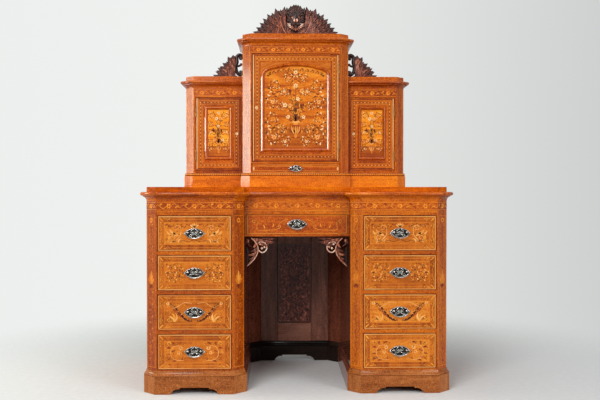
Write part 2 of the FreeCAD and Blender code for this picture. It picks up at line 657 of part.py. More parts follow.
def cornice_mouldings():
    side_path = side_cabinet_path()
    side_level = SIDE_BOX_TOP - CORNICE_HEIGHT
    lengths = mitred_lengths(side_path, cornice_profile(), side_level)
    lengths += mitred_lengths(right_of(side_path), cornice_profile(), side_level)
    centre_path = mirror_path([(-HALF_CENTRE, BACK)] + centre_corners())
    return lengths + mitred_lengths(centre_path, cornice_profile(), CENTRE_BOX_TOP - CORNICE_HEIGHT)


# Carved crests
def centre_crest():
    """Leaves that fan out to both sides of an oval boss."""
    y0 = CENTRE_FRONT + CREST_SETBACK
    y1 = y0 + CREST_THICKNESS
    base = CENTRE_BOX_TOP + CABINET_TOP
    half = HALF_CENTRE - CREST_END_GAP
    tall = CENTRE_CREST_HEIGHT
    arch = [(-half * 0.92, base), ((0.0, base + tall * 0.62), (half * 0.92, base))]
    carving = [slab(upright_wire(arch), y0, y1)]
    for side in (-1, 1):
        for i in range(CENTRE_CREST_LEAVES):
            t = i / (CENTRE_CREST_LEAVES - 1)
            angle = math.radians(8 + 62 * t)
            root = (side * half * 0.42 * (1 - 0.55 * t), base + tall * (0.04 + 0.22 * t))
            tip = (side * half * math.cos(angle), base + tall * 0.90 * math.sin(angle))
            carving.append(leaf(root, tip, tall * 0.22, y0, y1))
    boss_centre = Vector(0, y1, base + tall * 0.56)
    oval = Part.Face(Part.Wire(oval_edge(boss_centre, tall * 0.44, tall * 0.34)))
    carving.append(oval.extrude(Vector(0, y0 - CREST_BOSS_PROUD - y1, 0)))
    whole = carving[0].multiFuse(carving[1:])
    room = box((-half, half), (y0 - CREST_BOSS_PROUD - 1, y1 + 1), (base, base + tall))
    return whole.common(room).Solids[0]


def oval_edge(centre, half_height, half_width):
    """An upright or lying ellipse in the XZ plane."""
    long_way = Vector(0, 0, half_height) if half_height > half_width else Vector(half_width, 0, 0)
    short_way = Vector(half_width, 0, 0) if half_height > half_width else Vector(0, 0, half_height)
    return Part.Ellipse(centre + long_way, centre + short_way, centre).toShape()


def side_crest(side):
    """Leaves that fall away to the outside, with scrolls against the centre cabinet."""
    y0 = SIDE_FRONT + CREST_SETBACK
    y1 = y0 + CREST_THICKNESS
    base = SIDE_BOX_TOP + CABINET_TOP
    wide = SIDE_CREST_WIDTH
    tall = SIDE_CREST_HEIGHT

    def at(out, up):
        return (side * (HALF_CENTRE + out * wide), base + up * tall)

    body = upright_wire([at(0, 0), at(0.94, 0), (at(0.66, 0.24), at(0.42, 0.62)),
                         (at(0.30, 0.28), at(0, 0.12))])
    carving = [slab(body, y0, y1)]
    for i in range(SIDE_CREST_LEAVES):
        t = i / (SIDE_CREST_LEAVES - 1)
        carving.append(leaf(at(0.52 - 0.14 * t, 0.05 + 0.35 * t), at(1.0 - 0.48 * t, 0.06 + 0.80 * t),
                            tall * 0.24, y0, y1))
    carving.append(leaf(at(0.40, 0.44), at(0.22, 0.97), tall * 0.18, y0, y1))
    carving.append(scroll(at(0.16, 0.84), tall * 0.16, y0, y1))
    carving.append(scroll(at(0.13, 0.16), tall * 0.13, y0, y1))
    whole = carving[0].multiFuse(carving[1:])
    room = box((side * HALF_CENTRE, side * (HALF_CENTRE + wide)), (y0 - 1, y1 + 1), (base, base + tall))
    return whole.common(room).Solids[0]


# Drawers and pulls
def drawer(x, half_opening, y_front, z_floor, opening_height, y_end):
    """A drawer's front, sides, back and bottom, closed, in an opening of the given half width."""
    half = half_opening - DRAWER_GAP
    inside = half - DRAWER_SIDE
    low = z_floor + DRAWER_LIFT
    front_top = z_floor + opening_height - DRAWER_GAP
    side_top = z_floor + opening_height * (1 - DRAWER_SIDE_DROP)
    y_sides = y_front + DRAWER_FRONT
    y_back = y_end - DRAWER_SIDE
    floor = low + DRAWER_BOTTOM_RAISE
    solids = [box((x - half, x + half), (y_front, y_sides), (low, front_top))]
    for side in (-1, 1):
        solids.append(box((x + side * inside, x + side * half), (y_sides, y_end), (low, side_top)))
    solids.append(box((x - inside, x + inside), (y_back, y_end), (low, side_top)))
    solids.append(box((x - inside, x + inside), (y_sides, y_back), (floor, floor + DRAWER_BOTTOM)))
    return solids


def pull_pivot(y_front, z, height):
    """Depth and height of the line that a bail swings about."""
    return y_front - PULL_STANDOFF, z + height * PULL_PIVOT_LIFT


def pull_plate(x, y_front, z, width, height):
    """An oval plate with a raised cushion and two posts, bored for the bail."""
    pivot_y, pivot_z = pull_pivot(y_front, z, height)
    centre = Vector(x, y_front, z)
    plate = Part.Face(Part.Wire(oval_edge(centre, height / 2, width / 2)))
    cushion = Part.Face(Part.Wire(oval_edge(centre, height * 0.36, width * 0.40)))
    solids = [plate.extrude(Vector(0, -PULL_PLATE, 0)),
              cushion.extrude(Vector(0, -PULL_PLATE - PULL_CUSHION, 0))]
    reach = PULL_STANDOFF + PULL_POST_RADIUS
    for side in (-1, 1):
        foot = Vector(x + side * width * PULL_POST_SPREAD, y_front, pivot_z)
        solids.append(rod(foot, Vector(0, -1, 0), PULL_POST_RADIUS, reach))
    whole = solids[0].multiFuse(solids[1:])
    bore = rod(Vector(x - width, pivot_y, pivot_z), Vector(1, 0, 0), BAIL_RADIUS + PIN_CLEARANCE, 2 * width)
    return whole.cut(bore).Solids[0]


def pull_bail(x, y_front, z, width, height):
    """A bent wire that hangs from the posts, its ends turned in through their bores."""
    pivot_y, pivot_z = pull_pivot(y_front, z, height)
    post = width * PULL_POST_SPREAD
    arm = post + PULL_POST_RADIUS + BAIL_RADIUS + BAIL_CLEARANCE
    drop = height * (0.5 + PULL_PIVOT_LIFT) - BAIL_RADIUS
    corner = BAIL_RADIUS * 1.5
    bow = math.sqrt(0.5)

    def at(across, down):
        return Vector(x + across, pivot_y, pivot_z - down)

    edges = []
    for side in (-1, 1):
        elbow = arm - corner
        edges.append([
            Part.makeLine(at(side * (post - PULL_POST_RADIUS), 0), at(side * elbow, 0)),
            Part.Arc(at(side * elbow, 0), at(side * (elbow + corner * bow), corner * (1 - bow)),
                     at(side * arm, corner)).toShape()])
    hanging = Part.Ellipse(at(-arm, corner), at(0, drop), at(0, corner))
    grip = Part.ArcOfEllipse(hanging, 0, math.pi).toShape()
    path = Part.Wire(edges[0] + [grip] + edges[1][::-1])
    start = at(-(post - PULL_POST_RADIUS), 0)
    section = Part.Wire(Part.makeCircle(BAIL_RADIUS, start, Vector(1, 0, 0)))
    return path.makePipeShell([section], True, True)


def pedestal_drawer_names():
    """Each pedestal drawer with its centre line and floor level."""
    for label, side in (("left", -1), ("right", 1)):
        for level in range(DRAWERS_PER_PEDESTAL):
            yield f"{label}_drawer_{level + 1}", side * PEDESTAL_X, drawer_floor(level)


def save_drawer(name, x, half_opening, y_front, z_floor, opening_height, y_end, pull):
    solids = drawer(x, half_opening, y_front, z_floor, opening_height, y_end)
    z = solids[0].CenterOfMass.z
    save(name, solids)
    save(f"{name}_pull_plate", [pull_plate(x, y_front, z, *pull)])
    save(f"{name}_bail", [pull_bail(x, y_front, z, *pull)])


def save_drawers():
    large = (PULL_WIDTH, PULL_HEIGHT)
    small = (SMALL_PULL_WIDTH, SMALL_PULL_HEIGHT)
    for name, x, floor in pedestal_drawer_names():
        save_drawer(name, x, PEDESTAL_OPENING / 2, FRONT, floor, DRAWER_OPENING,
                    BACK - BACK_THICKNESS - DRAWER_ROOM_BEHIND, large)
    save_drawer("kneehole_drawer", 0.0, HALF_KNEE - KNEEHOLE_STILE, RECESS, KNEE_DRAWER_BOTTOM,
                KNEEHOLE_DRAWER_HEIGHT, KNEEHOLE_BACK - KNEEHOLE_CANT - DRAWER_ROOM_BEHIND, large)
    save_drawer("cabinet_drawer", 0.0, CENTRE_OPENING, CENTRE_FRONT, CABINET_BASE, CABINET_DRAWER_HEIGHT,
                BACK - CABINET_BACK - DRAWER_ROOM_BEHIND, small)


# Doors
def arch_outline(half, z_bottom, z_top, inset):
    """A door panel's outline with a flattened arch: two shoulders tangent to one wide arc."""
    spring = z_top - ARCH_RISE
    shoulder_x = half - ARCH_SHOULDER
    wide = (shoulder_x ** 2 + ARCH_RISE ** 2 - ARCH_SHOULDER ** 2) / (2 * (ARCH_RISE - ARCH_SHOULDER))
    centre_z = z_top - wide
    turn = math.atan2(spring - centre_z, shoulder_x)
    join = ((wide - inset) * math.cos(turn), centre_z + (wide - inset) * math.sin(turn))
    radius = ARCH_SHOULDER - inset
    bow = (shoulder_x + radius * math.cos(turn / 2), spring + radius * math.sin(turn / 2))
    edge = half - inset
    return upright_wire([(-edge, z_bottom + inset), (edge, z_bottom + inset), (edge, spring), (bow, join),
                         ((0.0, z_top - inset), (-join[0], join[1])),
                         ((-bow[0], bow[1]), (-edge, spring))])


def square_outline(half, z_bottom, z_top, inset):
    edge = half - inset
    return upright_wire([(-edge, z_bottom + inset), (edge, z_bottom + inset), (edge, z_top - inset),
                         (-edge, z_top - inset)])


def door_frame(outline, half, front, z_range, panel):
    """Two stiles, two rails, and the raised moulding round the panel."""
    deep = (front, front + DOOR_THICKNESS)
    inner, low, high = panel
    solids = [box((side * inner, side * half), deep, z_range) for side in (-1, 1)]
    solids.append(box((-inner, inner), deep, (z_range[0], low)))
    head = box((-inner, inner), deep, (high - ARCH_RISE, z_range[1]))
    opening = slab(outline(inner, low, high, 0.0), front - 1, front + DOOR_THICKNESS + 1)
    solids.append(head.cut(opening).Solids[0])
    face = front - PANEL_MOULDING_RISE
    ring = slab(outline(inner, low, high, 0.0), front + PANEL_RECESS, face)
    ring = ring.cut(slab(outline(inner, low, high, PANEL_MOULDING), front + PANEL_RECESS, face))
    rim = [edge for edge in ring.Edges if abs(edge.BoundBox.YMax - face) < 0.01]
    solids.append(ring.makeFillet(PANEL_MOULDING_RISE * 0.7, rim).Solids[0])
    return solids


def door_panel(outline, front, panel):
    return [slab(outline(*panel, 0.0), front + PANEL_RECESS, front + PANEL_RECESS + PANEL_THICKNESS)]


def hinge_leaf(axis_x, axis_y, front, z_low, towards, fixed):
    """One leaf of a hinge with its knuckles: the fixed leaf carries the pin, the door's leaf is bored."""
    step = HINGE_LENGTH / HINGE_KNUCKLES
    near = LEAF_CLEARANCE
    far = DOOR_GAP / 2
    x_range = (axis_x + towards * near, axis_x + towards * far)
    solids = [box(x_range, (front, front + HINGE_LEAF), (z_low, z_low + HINGE_LENGTH))]
    for i in range(0 if fixed else 1, HINGE_KNUCKLES, 2):
        low = z_low + i * step + KNUCKLE_CLEARANCE / 2
        tall = step - KNUCKLE_CLEARANCE
        solids.append(rod(Vector(axis_x, axis_y, low), Vector(0, 0, 1), KNUCKLE_RADIUS, tall))
        solids.append(box(x_range, (axis_y, front), (low, low + tall)))
    whole = solids[0].multiFuse(solids[1:])
    pin_radius = HINGE_PIN_RADIUS + (0.0 if fixed else PIN_CLEARANCE)
    pin = rod(Vector(axis_x, axis_y, z_low), Vector(0, 0, 1), pin_radius, HINGE_LENGTH)
    return (whole.fuse(pin) if fixed else whole.cut(pin)).Solids[0]


def hinge_axis(edge_x, towards, front):
    """The line that a door swings about, in the gap at its edge and just in front of its face."""
    return edge_x - towards * DOOR_GAP / 2, front - KNUCKLE_RADIUS - KNUCKLE_CLEARANCE


def hinge_levels(z_range):
    return z_range[0] + HINGE_INSET, z_range[1] - HINGE_INSET - HINGE_LENGTH


def lock_case(edge_x, towards, front, z):
    """A lock on the door's inner face, hollow for its bolt and open at the door's free edge."""
    y0 = front + DOOR_THICKNESS
    case = box((edge_x, edge_x + towards * LOCK_WIDTH), (y0, y0 + LOCK_DEPTH),
               (z - LOCK_HEIGHT / 2, z + LOCK_HEIGHT / 2))
    spare = BOLT_CLEARANCE
    room = box((edge_x - towards, edge_x + towards * (BOLT_LENGTH + 2 * spare)),
               [y0 + (LOCK_DEPTH + end * (BOLT_THICKNESS + 2 * spare)) / 2 for end in (-1, 1)],
               [z + end * (BOLT_HEIGHT / 2 + spare) for end in (-1, 1)])
    return case.cut(room).Solids[0]


def lock_bolt(edge_x, towards, front, z):
    y0 = front + DOOR_THICKNESS
    start = edge_x + towards * BOLT_CLEARANCE
    return box((start, start + towards * BOLT_LENGTH),
               [y0 + (LOCK_DEPTH + end * BOLT_THICKNESS) / 2 for end in (-1, 1)],
               [z + end * BOLT_HEIGHT / 2 for end in (-1, 1)])


def escutcheon(x, front, z):
    """A round keyhole plate on the door's face."""
    plate = rod(Vector(x, front, z), Vector(0, -1, 0), ESCUTCHEON_RADIUS, ESCUTCHEON_THICKNESS)
    hole = rod(Vector(x, front, z), Vector(0, -1, 0), KEYHOLE_RADIUS, ESCUTCHEON_THICKNESS)
    return plate.cut(hole)


def save_door(name, x_range, z_range, front, hinge_side, outline):
    """A closed door in its opening; its frame, panel, fittings and bolt. Returns the fixed hinge leaves."""
    x = sum(x_range) / 2
    half = (x_range[1] - x_range[0]) / 2 - DOOR_GAP
    z_door = (z_range[0] + DOOR_GAP, z_range[1] - DOOR_GAP)
    panel = (half - DOOR_STILE, z_door[0] + DOOR_FOOT_RAIL, z_door[1] - DOOR_STILE)
    frame = door_frame(outline, half, front, z_door, panel)
    board = door_panel(outline, front, panel)
    for solid in frame + board:
        solid.translate(Vector(x, 0, 0))
    hinge_edge = x + hinge_side * (half + DOOR_GAP)
    free_edge = x - hinge_side * half
    axis = hinge_axis(hinge_edge, hinge_side, front)
    levels = hinge_levels(z_door)
    lock_z = middle(z_range)
    fittings = [hinge_leaf(*axis, front, z, -hinge_side, False) for z in levels]
    fittings.append(lock_case(free_edge, hinge_side, front, lock_z))
    fittings.append(escutcheon(free_edge + hinge_side * KEYHOLE_INSET, front, lock_z))
    save(f"{name}_frame", frame)
    save(f"{name}_panel", board)
    save(f"{name}_fittings", fittings)
    save(f"{name}_lock_bolt", [lock_bolt(free_edge, hinge_side, front, lock_z)])
    return [hinge_leaf(*axis, front, z, hinge_side, True) for z in levels]


def save_doors():
    side_levels = (SIDE_DOOR_BOTTOM, SIDE_DOOR_TOP)
    centre_levels = (CENTRE_DOOR_BOTTOM, CENTRE_DOOR_TOP)
    leaves = save_door("centre_door", (-CENTRE_OPENING, CENTRE_OPENING), centre_levels,
                       CENTRE_FRONT, 1, arch_outline)
    leaves += save_door("left_door", (-SIDE_OPENING_OUTER, -SIDE_OPENING_INNER), side_levels,
                        SIDE_FRONT, -1, square_outline)
    leaves += save_door("right_door", (SIDE_OPENING_INNER, SIDE_OPENING_OUTER), side_levels,
                        SIDE_FRONT, 1, square_outline)
    save("door_hinge_leaves", leaves)


os.makedirs("parts", exist_ok=True)
save("desk_top", desk_top())
save("desk_top_moulding", mitred_lengths(top_path(), edge_profile(), EDGE_UNDERSIDE))
save("pedestal_posts", pedestal_posts())
save("pedestal_boards", pedestal_boards())
save("drawer_rails", drawer_rails())
save("drawer_runners", drawer_runners())
save("frieze_boards", frieze_boards())
save("base_plinth", base_plinth())
save("back_panels", back_panels())
save("kneehole_back_frame", kneehole_back_frame())
save("kneehole_back_panel", kneehole_back_panel())
save("kneehole_brackets", [kneehole_bracket(side) for side in (-1, 1)])
save("cabinet_posts", cabinet_posts())
save("cabinet_boards", cabinet_boards())
save("cabinet_plinth", cabinet_plinth())
save("cornice_mouldings", cornice_mouldings())
save("carved_crests", [centre_crest(), side_crest(-1), side_crest(1)])
save_drawers()
save_doors()
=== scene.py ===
# %% [markdown]
# # A marquetry desk with three cabinets
# The desk is a kneehole desk: two pedestals of drawers, a recessed drawer between them, and three
# small cabinets standing on the top. Its CAD solids come in as a fixed frame. This lesson gives
# every board a softened edge and a real wood figure, lays the marquetry on as thin cuttings, and
# carves the crests and brackets.

import json
import math
import random

import bmesh
import bpy
from mathutils import Matrix, Vector

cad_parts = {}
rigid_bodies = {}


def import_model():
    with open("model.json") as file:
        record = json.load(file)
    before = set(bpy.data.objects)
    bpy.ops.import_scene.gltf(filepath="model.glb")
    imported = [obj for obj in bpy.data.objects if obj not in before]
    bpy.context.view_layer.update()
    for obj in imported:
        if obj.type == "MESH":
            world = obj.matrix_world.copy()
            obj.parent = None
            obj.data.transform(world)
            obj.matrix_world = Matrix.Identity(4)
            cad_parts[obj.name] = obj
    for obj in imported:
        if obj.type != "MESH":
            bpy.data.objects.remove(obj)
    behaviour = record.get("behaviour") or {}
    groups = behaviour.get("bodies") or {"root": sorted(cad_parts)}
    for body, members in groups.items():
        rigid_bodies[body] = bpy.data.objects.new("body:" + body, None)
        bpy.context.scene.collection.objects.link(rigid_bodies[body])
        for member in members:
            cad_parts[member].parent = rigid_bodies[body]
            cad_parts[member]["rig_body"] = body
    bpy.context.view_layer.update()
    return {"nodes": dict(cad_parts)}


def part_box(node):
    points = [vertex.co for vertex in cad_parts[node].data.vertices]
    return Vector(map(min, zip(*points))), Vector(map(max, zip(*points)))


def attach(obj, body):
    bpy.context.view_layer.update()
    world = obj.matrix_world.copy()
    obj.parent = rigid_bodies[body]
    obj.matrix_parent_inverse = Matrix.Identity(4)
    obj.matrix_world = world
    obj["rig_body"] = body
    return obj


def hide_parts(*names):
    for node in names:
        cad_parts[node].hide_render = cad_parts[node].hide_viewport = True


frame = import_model()
nodes = frame["nodes"]

# %% [markdown]
# ## Where the camera stands
# The photograph was taken from a little left of the middle, at the height of the desk top, so the
# top shows as a line. A normal lens far away keeps the uprights parallel. The angles are given as
# numbers, because a tracking constraint would fight with the other views.


# %% Camera
def put(name, data):
    """An object with this data, linked into the scene."""
    thing = bpy.data.objects.new(name, data)
    bpy.context.collection.objects.link(thing)
    return thing


TILT_DOWN = 0.9
TURN_RIGHT = 1.5
camera_data = bpy.data.cameras.new("camera")
camera_data.lens = 50
camera_data.sensor_width = 36
camera = put("camera", camera_data)
camera.location = (-0.073, -3.4435, 0.780)
camera.rotation_euler = (math.radians(90 - TILT_DOWN), 0, math.radians(-TURN_RIGHT))
bpy.context.scene.camera = camera
print("camera at", tuple(camera.location))

# %% [markdown]
# ## Colours
# Colours are easiest to pick as the 0 to 255 values of a screen, but a shader works with light,
# so each value is turned into its linear share once, here.


# %% Screen colour to shader colour
def shade(red, green, blue):
    """A screen colour as the linear colour that a shader takes."""
    linear = []
    for value in (red, green, blue):
        part = value / 255
        linear.append(part / 12.92 if part <= 0.04045 else ((part + 0.055) / 1.055) ** 2.4)
    return (*linear, 1.0)


print("mid grey is", shade(128, 128, 128))

# %% [markdown]
# ## Shader nodes
# A material is a tree of nodes. Adding a node, setting its sockets and linking it takes many lines,
# so these helpers do it in one: a socket is given either a plain value or the output that feeds it.


# %% Node helpers
def new_material(name):
    """An empty node material and its tree."""
    material = bpy.data.materials.new(name)
    material.use_nodes = True
    material.node_tree.nodes.clear()
    return material, material.node_tree


def add(tree, kind, sockets=None, **settings):
    """A shader node; sockets maps an input to a plain value or to the output that feeds it."""
    node = tree.nodes.new("ShaderNode" + kind)
    for key, value in settings.items():
        setattr(node, key, value)
    for socket, value in (sockets or {}).items():
        if isinstance(value, bpy.types.NodeSocket):
            tree.links.new(value, node.inputs[socket])
        else:
            node.inputs[socket].default_value = value
    return node


def math_node(tree, operation, *values):
    """The result of a math node fed by sockets or plain numbers."""
    return add(tree, "Math", dict(enumerate(values)), operation=operation).outputs[0]


def noise(tree, where, scale, detail=2.0, roughness=0.5, distortion=0.0):
    """A cloudy pattern between 0 and 1, read at a place."""
    sockets = {"Vector": where, "Scale": scale, "Detail": detail, "Roughness": roughness,
               "Distortion": distortion}
    return add(tree, "TexNoise", sockets).outputs["Fac"]


def stretched(tree, where, scale):
    """A place with its three axes scaled, which draws a pattern out along the axis of least scale."""
    return add(tree, "Mapping", {"Vector": where, "Scale": scale}).outputs["Vector"]


def ramp(tree, factor, stops):
    """A colour ramp with stops of (position, screen colour)."""
    node = add(tree, "ValToRGB", {"Fac": factor})
    while len(node.color_ramp.elements) < len(stops):
        node.color_ramp.elements.new(0.5)
    for element, (position, colour) in zip(node.color_ramp.elements, stops):
        element.position = position
        element.color = shade(*colour)
    return node.outputs["Color"]


print("node helpers ready")

# %% [markdown]
# ## Floor, background and light
# The desk stands on a pale seamless sheet. A sheet with a real bend would hide the desk from
# behind, so the floor is a flat disc that fades away with distance into a pale world. The floor
# still catches the shadow. A narrow warm lamp on the left is mirrored in the left-facing corners, a
# large soft one lights the front, a weaker one fills from the right, and one overhead draws the
# mouldings. A single lamp would leave the carving and the kneehole black.

# %% Floor
FLOOR_RADIUS = 9.0
FADE_START = 0.7
FADE_END = 2.0
floor_bm = bmesh.new()
bmesh.ops.create_circle(floor_bm, cap_ends=True, segments=96, radius=FLOOR_RADIUS)
floor_mesh = bpy.data.meshes.new("floor")
floor_bm.to_mesh(floor_mesh)
floor_bm.free()
floor = put("floor", floor_mesh)
floor.location.z = -0.0005

paper, tree = new_material("pale_paper")
place = add(tree, "TexCoord").outputs["Object"]
distance = add(tree, "VectorMath", {0: place}, operation="LENGTH").outputs["Value"]
fade = add(tree, "MapRange", {"Value": distance, "From Min": FADE_START, "From Max": FADE_END},
           interpolation_type="SMOOTHSTEP")
tint = ramp(tree, noise(tree, place, 40), [(0.3, (222, 224, 223)), (0.7, (228, 230, 229))])
matt = add(tree, "BsdfPrincipled", {"Base Color": tint, "Roughness": 0.9, "Specular IOR Level": 0.1})
clear = add(tree, "BsdfTransparent")
blend = add(tree, "MixShader", {"Fac": fade.outputs["Result"], 1: matt.outputs["BSDF"],
                                2: clear.outputs["BSDF"]})
add(tree, "OutputMaterial", {"Surface": blend.outputs["Shader"]})
floor_mesh.materials.append(paper)
print("floor of", len(floor_mesh.polygons), "face")

# %% World
BACKDROP_EDGE = 0.40
GLOW_STRENGTH = 0.24
world = bpy.data.worlds.new("studio")
bpy.context.scene.world = world
world.use_nodes = True
tree = world.node_tree
tree.nodes.clear()
direction = add(tree, "TexCoord")
split = add(tree, "SeparateXYZ", {"Vector": direction.outputs["Generated"]})
across = add(tree, "MapRange", {"Value": split.outputs["X"], "From Min": -BACKDROP_EDGE,
                                "From Max": BACKDROP_EDGE})
# The backdrop is painted lighter on the left and darker on the right: painted shade of the light falling off
# across the sheet.
backdrop_painted_falloff = ramp(tree, across.outputs["Result"],
                [(0.0, (236, 238, 237)), (0.45, (240, 242, 240)), (1.0, (203, 205, 204))])
seen = add(tree, "Background", {"Color": backdrop_painted_falloff, "Strength": 1.0})
glow = add(tree, "Background", {"Color": shade(236, 238, 240), "Strength": GLOW_STRENGTH})
path = add(tree, "LightPath").outputs
direct = math_node(tree, "MAXIMUM", path["Is Camera Ray"], path["Is Transmission Ray"])
direct = math_node(tree, "MAXIMUM", direct, path["Is Glossy Ray"])
mix = add(tree, "MixShader", {"Fac": direct, 1: glow.outputs["Background"], 2: seen.outputs["Background"]})
add(tree, "OutputWorld", {"Surface": mix.outputs["Shader"]})
bpy.context.scene.view_settings.view_transform = "Standard"
print("world set")


# %% Lamps
def soft_lamp(name, place, aim, width, height, watts, colour=(1.0, 1.0, 1.0)):
    """A rectangular lamp at a place, turned to a point."""
    data = bpy.data.lights.new(name, "AREA")
    data.shape = "RECTANGLE"
    data.size = width
    data.size_y = height
    data.energy = watts
    data.color = colour
    lamp = put(name, data)
    lamp.location = place
    lamp.rotation_euler = (Vector(aim) - Vector(place)).to_track_quat("-Z", "Y").to_euler()


warm = (1.0, 0.98, 0.84)
body_middle = (0, 0, 0.75)
soft_lamp("left_lamp", (-2.7, 0.02, 1.20), (0, 0.02, 1.10), width=0.6, height=0.8, watts=27, colour=warm)
soft_lamp("front_lamp", (-1.5, -3.6, 2.7), body_middle, width=1.8, height=1.8, watts=120)
soft_lamp("right_lamp", (2.6, -3.0, 1.7), body_middle, width=1.6, height=2.0, watts=52)
soft_lamp("top_lamp", (0.0, -0.6, 3.6), (0, 0.1, 0.8), width=2.4, height=1.8, watts=28)
print("four lamps")

# %% [markdown]
# ## Wood
# Every wood on the desk is one recipe with its own colours: broad clouds of figure, a mottle like
# that of burr, and fine fibres that run along the board. A noise in world space would run straight
# through every joint, so the recipe reads the attribute "grain", which the boards carry: the first
# number runs along the board, and each board starts at its own place in the figure. The attribute
# "tone" makes one board a little lighter or darker than the next.

# %% Wood recipe
CLOUD_SCALE = 26
MOTTLE_SCALE = 130
FIBRE_SCALE = 620
FIBRE_STRETCH = 0.035
FIBRE_SHARE = 0.16


def wood(name, dark, middle, light, burr=0.5, stretch=0.12, fineness=1.0, gloss=0.13, shine=0.24):
    """A polished wood; burr is its share of mottle, and stretch the scale of the figure along it."""
    material, tree = new_material(name)
    grain = add(tree, "Attribute", attribute_name="grain").outputs["Vector"]
    tone = add(tree, "Attribute", attribute_name="tone").outputs["Fac"]
    clouds = noise(tree, stretched(tree, grain, (stretch, 1, 1)), CLOUD_SCALE * fineness,
                   detail=5, roughness=0.62, distortion=1.1)
    mottle = noise(tree, grain, MOTTLE_SCALE * fineness, detail=4, roughness=0.6, distortion=2.2)
    fibres = noise(tree, stretched(tree, grain, (FIBRE_STRETCH, 1, 1)), FIBRE_SCALE * fineness)
    cloud_part = math_node(tree, "MULTIPLY", clouds, 1 - burr)
    mottle_part = math_node(tree, "MULTIPLY", mottle, burr)
    fibre_part = math_node(tree, "MULTIPLY_ADD", fibres, FIBRE_SHARE, -FIBRE_SHARE / 2)
    figure = math_node(tree, "ADD", cloud_part, mottle_part)
    figure = math_node(tree, "ADD", figure, fibre_part)
    figure = math_node(tree, "ADD", figure, tone)
    colour = ramp(tree, figure, [(0.36, dark), (0.50, middle), (0.64, light)])
    rough = add(tree, "MapRange", {"Value": fibres, "To Min": gloss + 0.08, "To Max": gloss - 0.03})
    pores = add(tree, "Bump", {"Height": fibres, "Strength": 0.12, "Distance": 0.0004})
    shader = add(tree, "BsdfPrincipled", {"Base Color": colour, "Roughness": rough.outputs["Result"],
                                          "Specular IOR Level": shine, "Normal": pores.outputs["Normal"]})
    add(tree, "OutputMaterial", {"Surface": shader.outputs["BSDF"]})
    return material


case_colours = ((104, 36, 2), (180, 79, 5), (222, 124, 18))
veneer = wood("figured_veneer", *case_colours, burr=0.66)
moulding_veneer = wood("moulding_veneer", *case_colours, burr=0.66, gloss=0.10, shine=0.62)
top_veneer = wood("desk_top_veneer", (128, 46, 2), (204, 92, 4), (236, 134, 18), gloss=0.52, shine=0.06)
edge_veneer = wood("top_edge_veneer", (124, 46, 2), (200, 91, 5), (236, 136, 20), burr=0.6)
plinth_veneer = wood("plinth_veneer", (102, 48, 16), (162, 90, 40), (196, 124, 66), burr=0.66, shine=0.16)
bright_veneer = wood("bright_veneer", (166, 74, 3), (218, 114, 8), (240, 150, 26), burr=0.6)
crossband = wood("crossband_veneer", (138, 58, 5), (184, 92, 14), (210, 118, 30), burr=0.45)
dark_wood = wood("kneehole_wood", (66, 32, 22), (116, 62, 46), (160, 92, 66), burr=0.7, shine=0.15)
back_wood = wood("kneehole_back_wood", (84, 48, 38), (130, 80, 64), (170, 112, 90), shine=0.15)
burr_wood = wood("kneehole_panel_burr", (46, 16, 12), (120, 62, 52), (204, 128, 104), burr=0.8,
                 fineness=0.32, shine=0.15)
# The kneehole's foot at the back is painted nearly black: painted shade deep in the kneehole.
foot_painted_shade = wood("kneehole_foot_painted_shade", (18, 12, 10), (34, 24, 20), (54, 38, 30), shine=0.1)
plain_wood = wood("drawer_lining_wood", (142, 94, 50), (178, 128, 74), (202, 156, 100), burr=0.1, gloss=0.5)
print("woods:", veneer.name, crossband.name, dark_wood.name, plain_wood.name)

# %% [markdown]
# ## Boards with softened edges
# A machined edge has no width, so it never catches the light. On the real desk every edge has been
# eased with paper. A Bevel modifier could do this, but the frame's meshes are loose triangles, so
# a copy is merged board by board, its flat faces are made whole, and the edges are bevelled. A
# board is found by reading its triangles in order until each edge has met its partner.


# %% Grain and tone
FIGURE_ROOM = 9
BOARD_TONE = 0.045


def carry_grain(bm):
    """Lets a mesh carry the run of the grain and the tone of the wood."""
    bm.verts.layers.float_vector.new("grain")
    bm.verts.layers.float.new("tone")
    return bm


def write_grain(bm, groups, rng, long_axis=None):
    """Gives each group of corners its own run of grain along its longest side, and its own tone."""
    grain = bm.verts.layers.float_vector["grain"]
    tone = bm.verts.layers.float["tone"]
    for corners in groups:
        spans = [max(v.co[i] for v in corners) - min(v.co[i] for v in corners) for i in range(3)]
        along = spans.index(max(spans)) if long_axis is None else long_axis
        order = [along] + [i for i in range(3) if i != along]
        start = Vector([rng.uniform(0, FIGURE_ROOM) for _ in range(3)])
        shift = rng.uniform(-BOARD_TONE, BOARD_TONE)
        for vert in corners:
            vert[grain] = Vector([vert.co[i] for i in order]) + start
            vert[tone] = shift


print("boards differ in tone by up to", 2 * BOARD_TONE)


# %% Board helpers
SAME_PLANE = math.radians(0.2)
SOFT_BEND = (math.radians(0.5), math.radians(25))
SHARP_BEND = math.radians(28)


def number_boards(bm):
    """Writes each board's number on its faces, and merges the corners within each board."""
    layer = bm.faces.layers.int.new("board")
    waiting = set()
    number = 0
    corners_of = {}
    for face in bm.faces:
        face[layer] = number
        corners_of.setdefault(number, {}).update(dict.fromkeys(face.verts))
        keys = [tuple(round(c * 1e6) for c in vert.co) for vert in face.verts]
        for start, end in zip(keys, keys[1:] + keys[:1]):
            if (end, start) in waiting:
                waiting.remove((end, start))
            else:
                waiting.add((start, end))
        number += not waiting
    for corners in corners_of.values():
        bmesh.ops.remove_doubles(bm, verts=list(corners), dist=1e-6)
    return layer, number


def finish_piece(bm, name, body, materials, slot, *stands_for):
    """Makes a mesh object of a bmesh, ties it to the frame, and says what it made."""
    mesh = bpy.data.meshes.new(name)
    bm.to_mesh(mesh)
    bm.free()
    for material in materials:
        mesh.materials.append(material)
    piece = put(name, mesh)
    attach(piece, body)
    if stands_for:
        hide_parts(*stands_for)
    print(name, len(mesh.polygons), "faces")


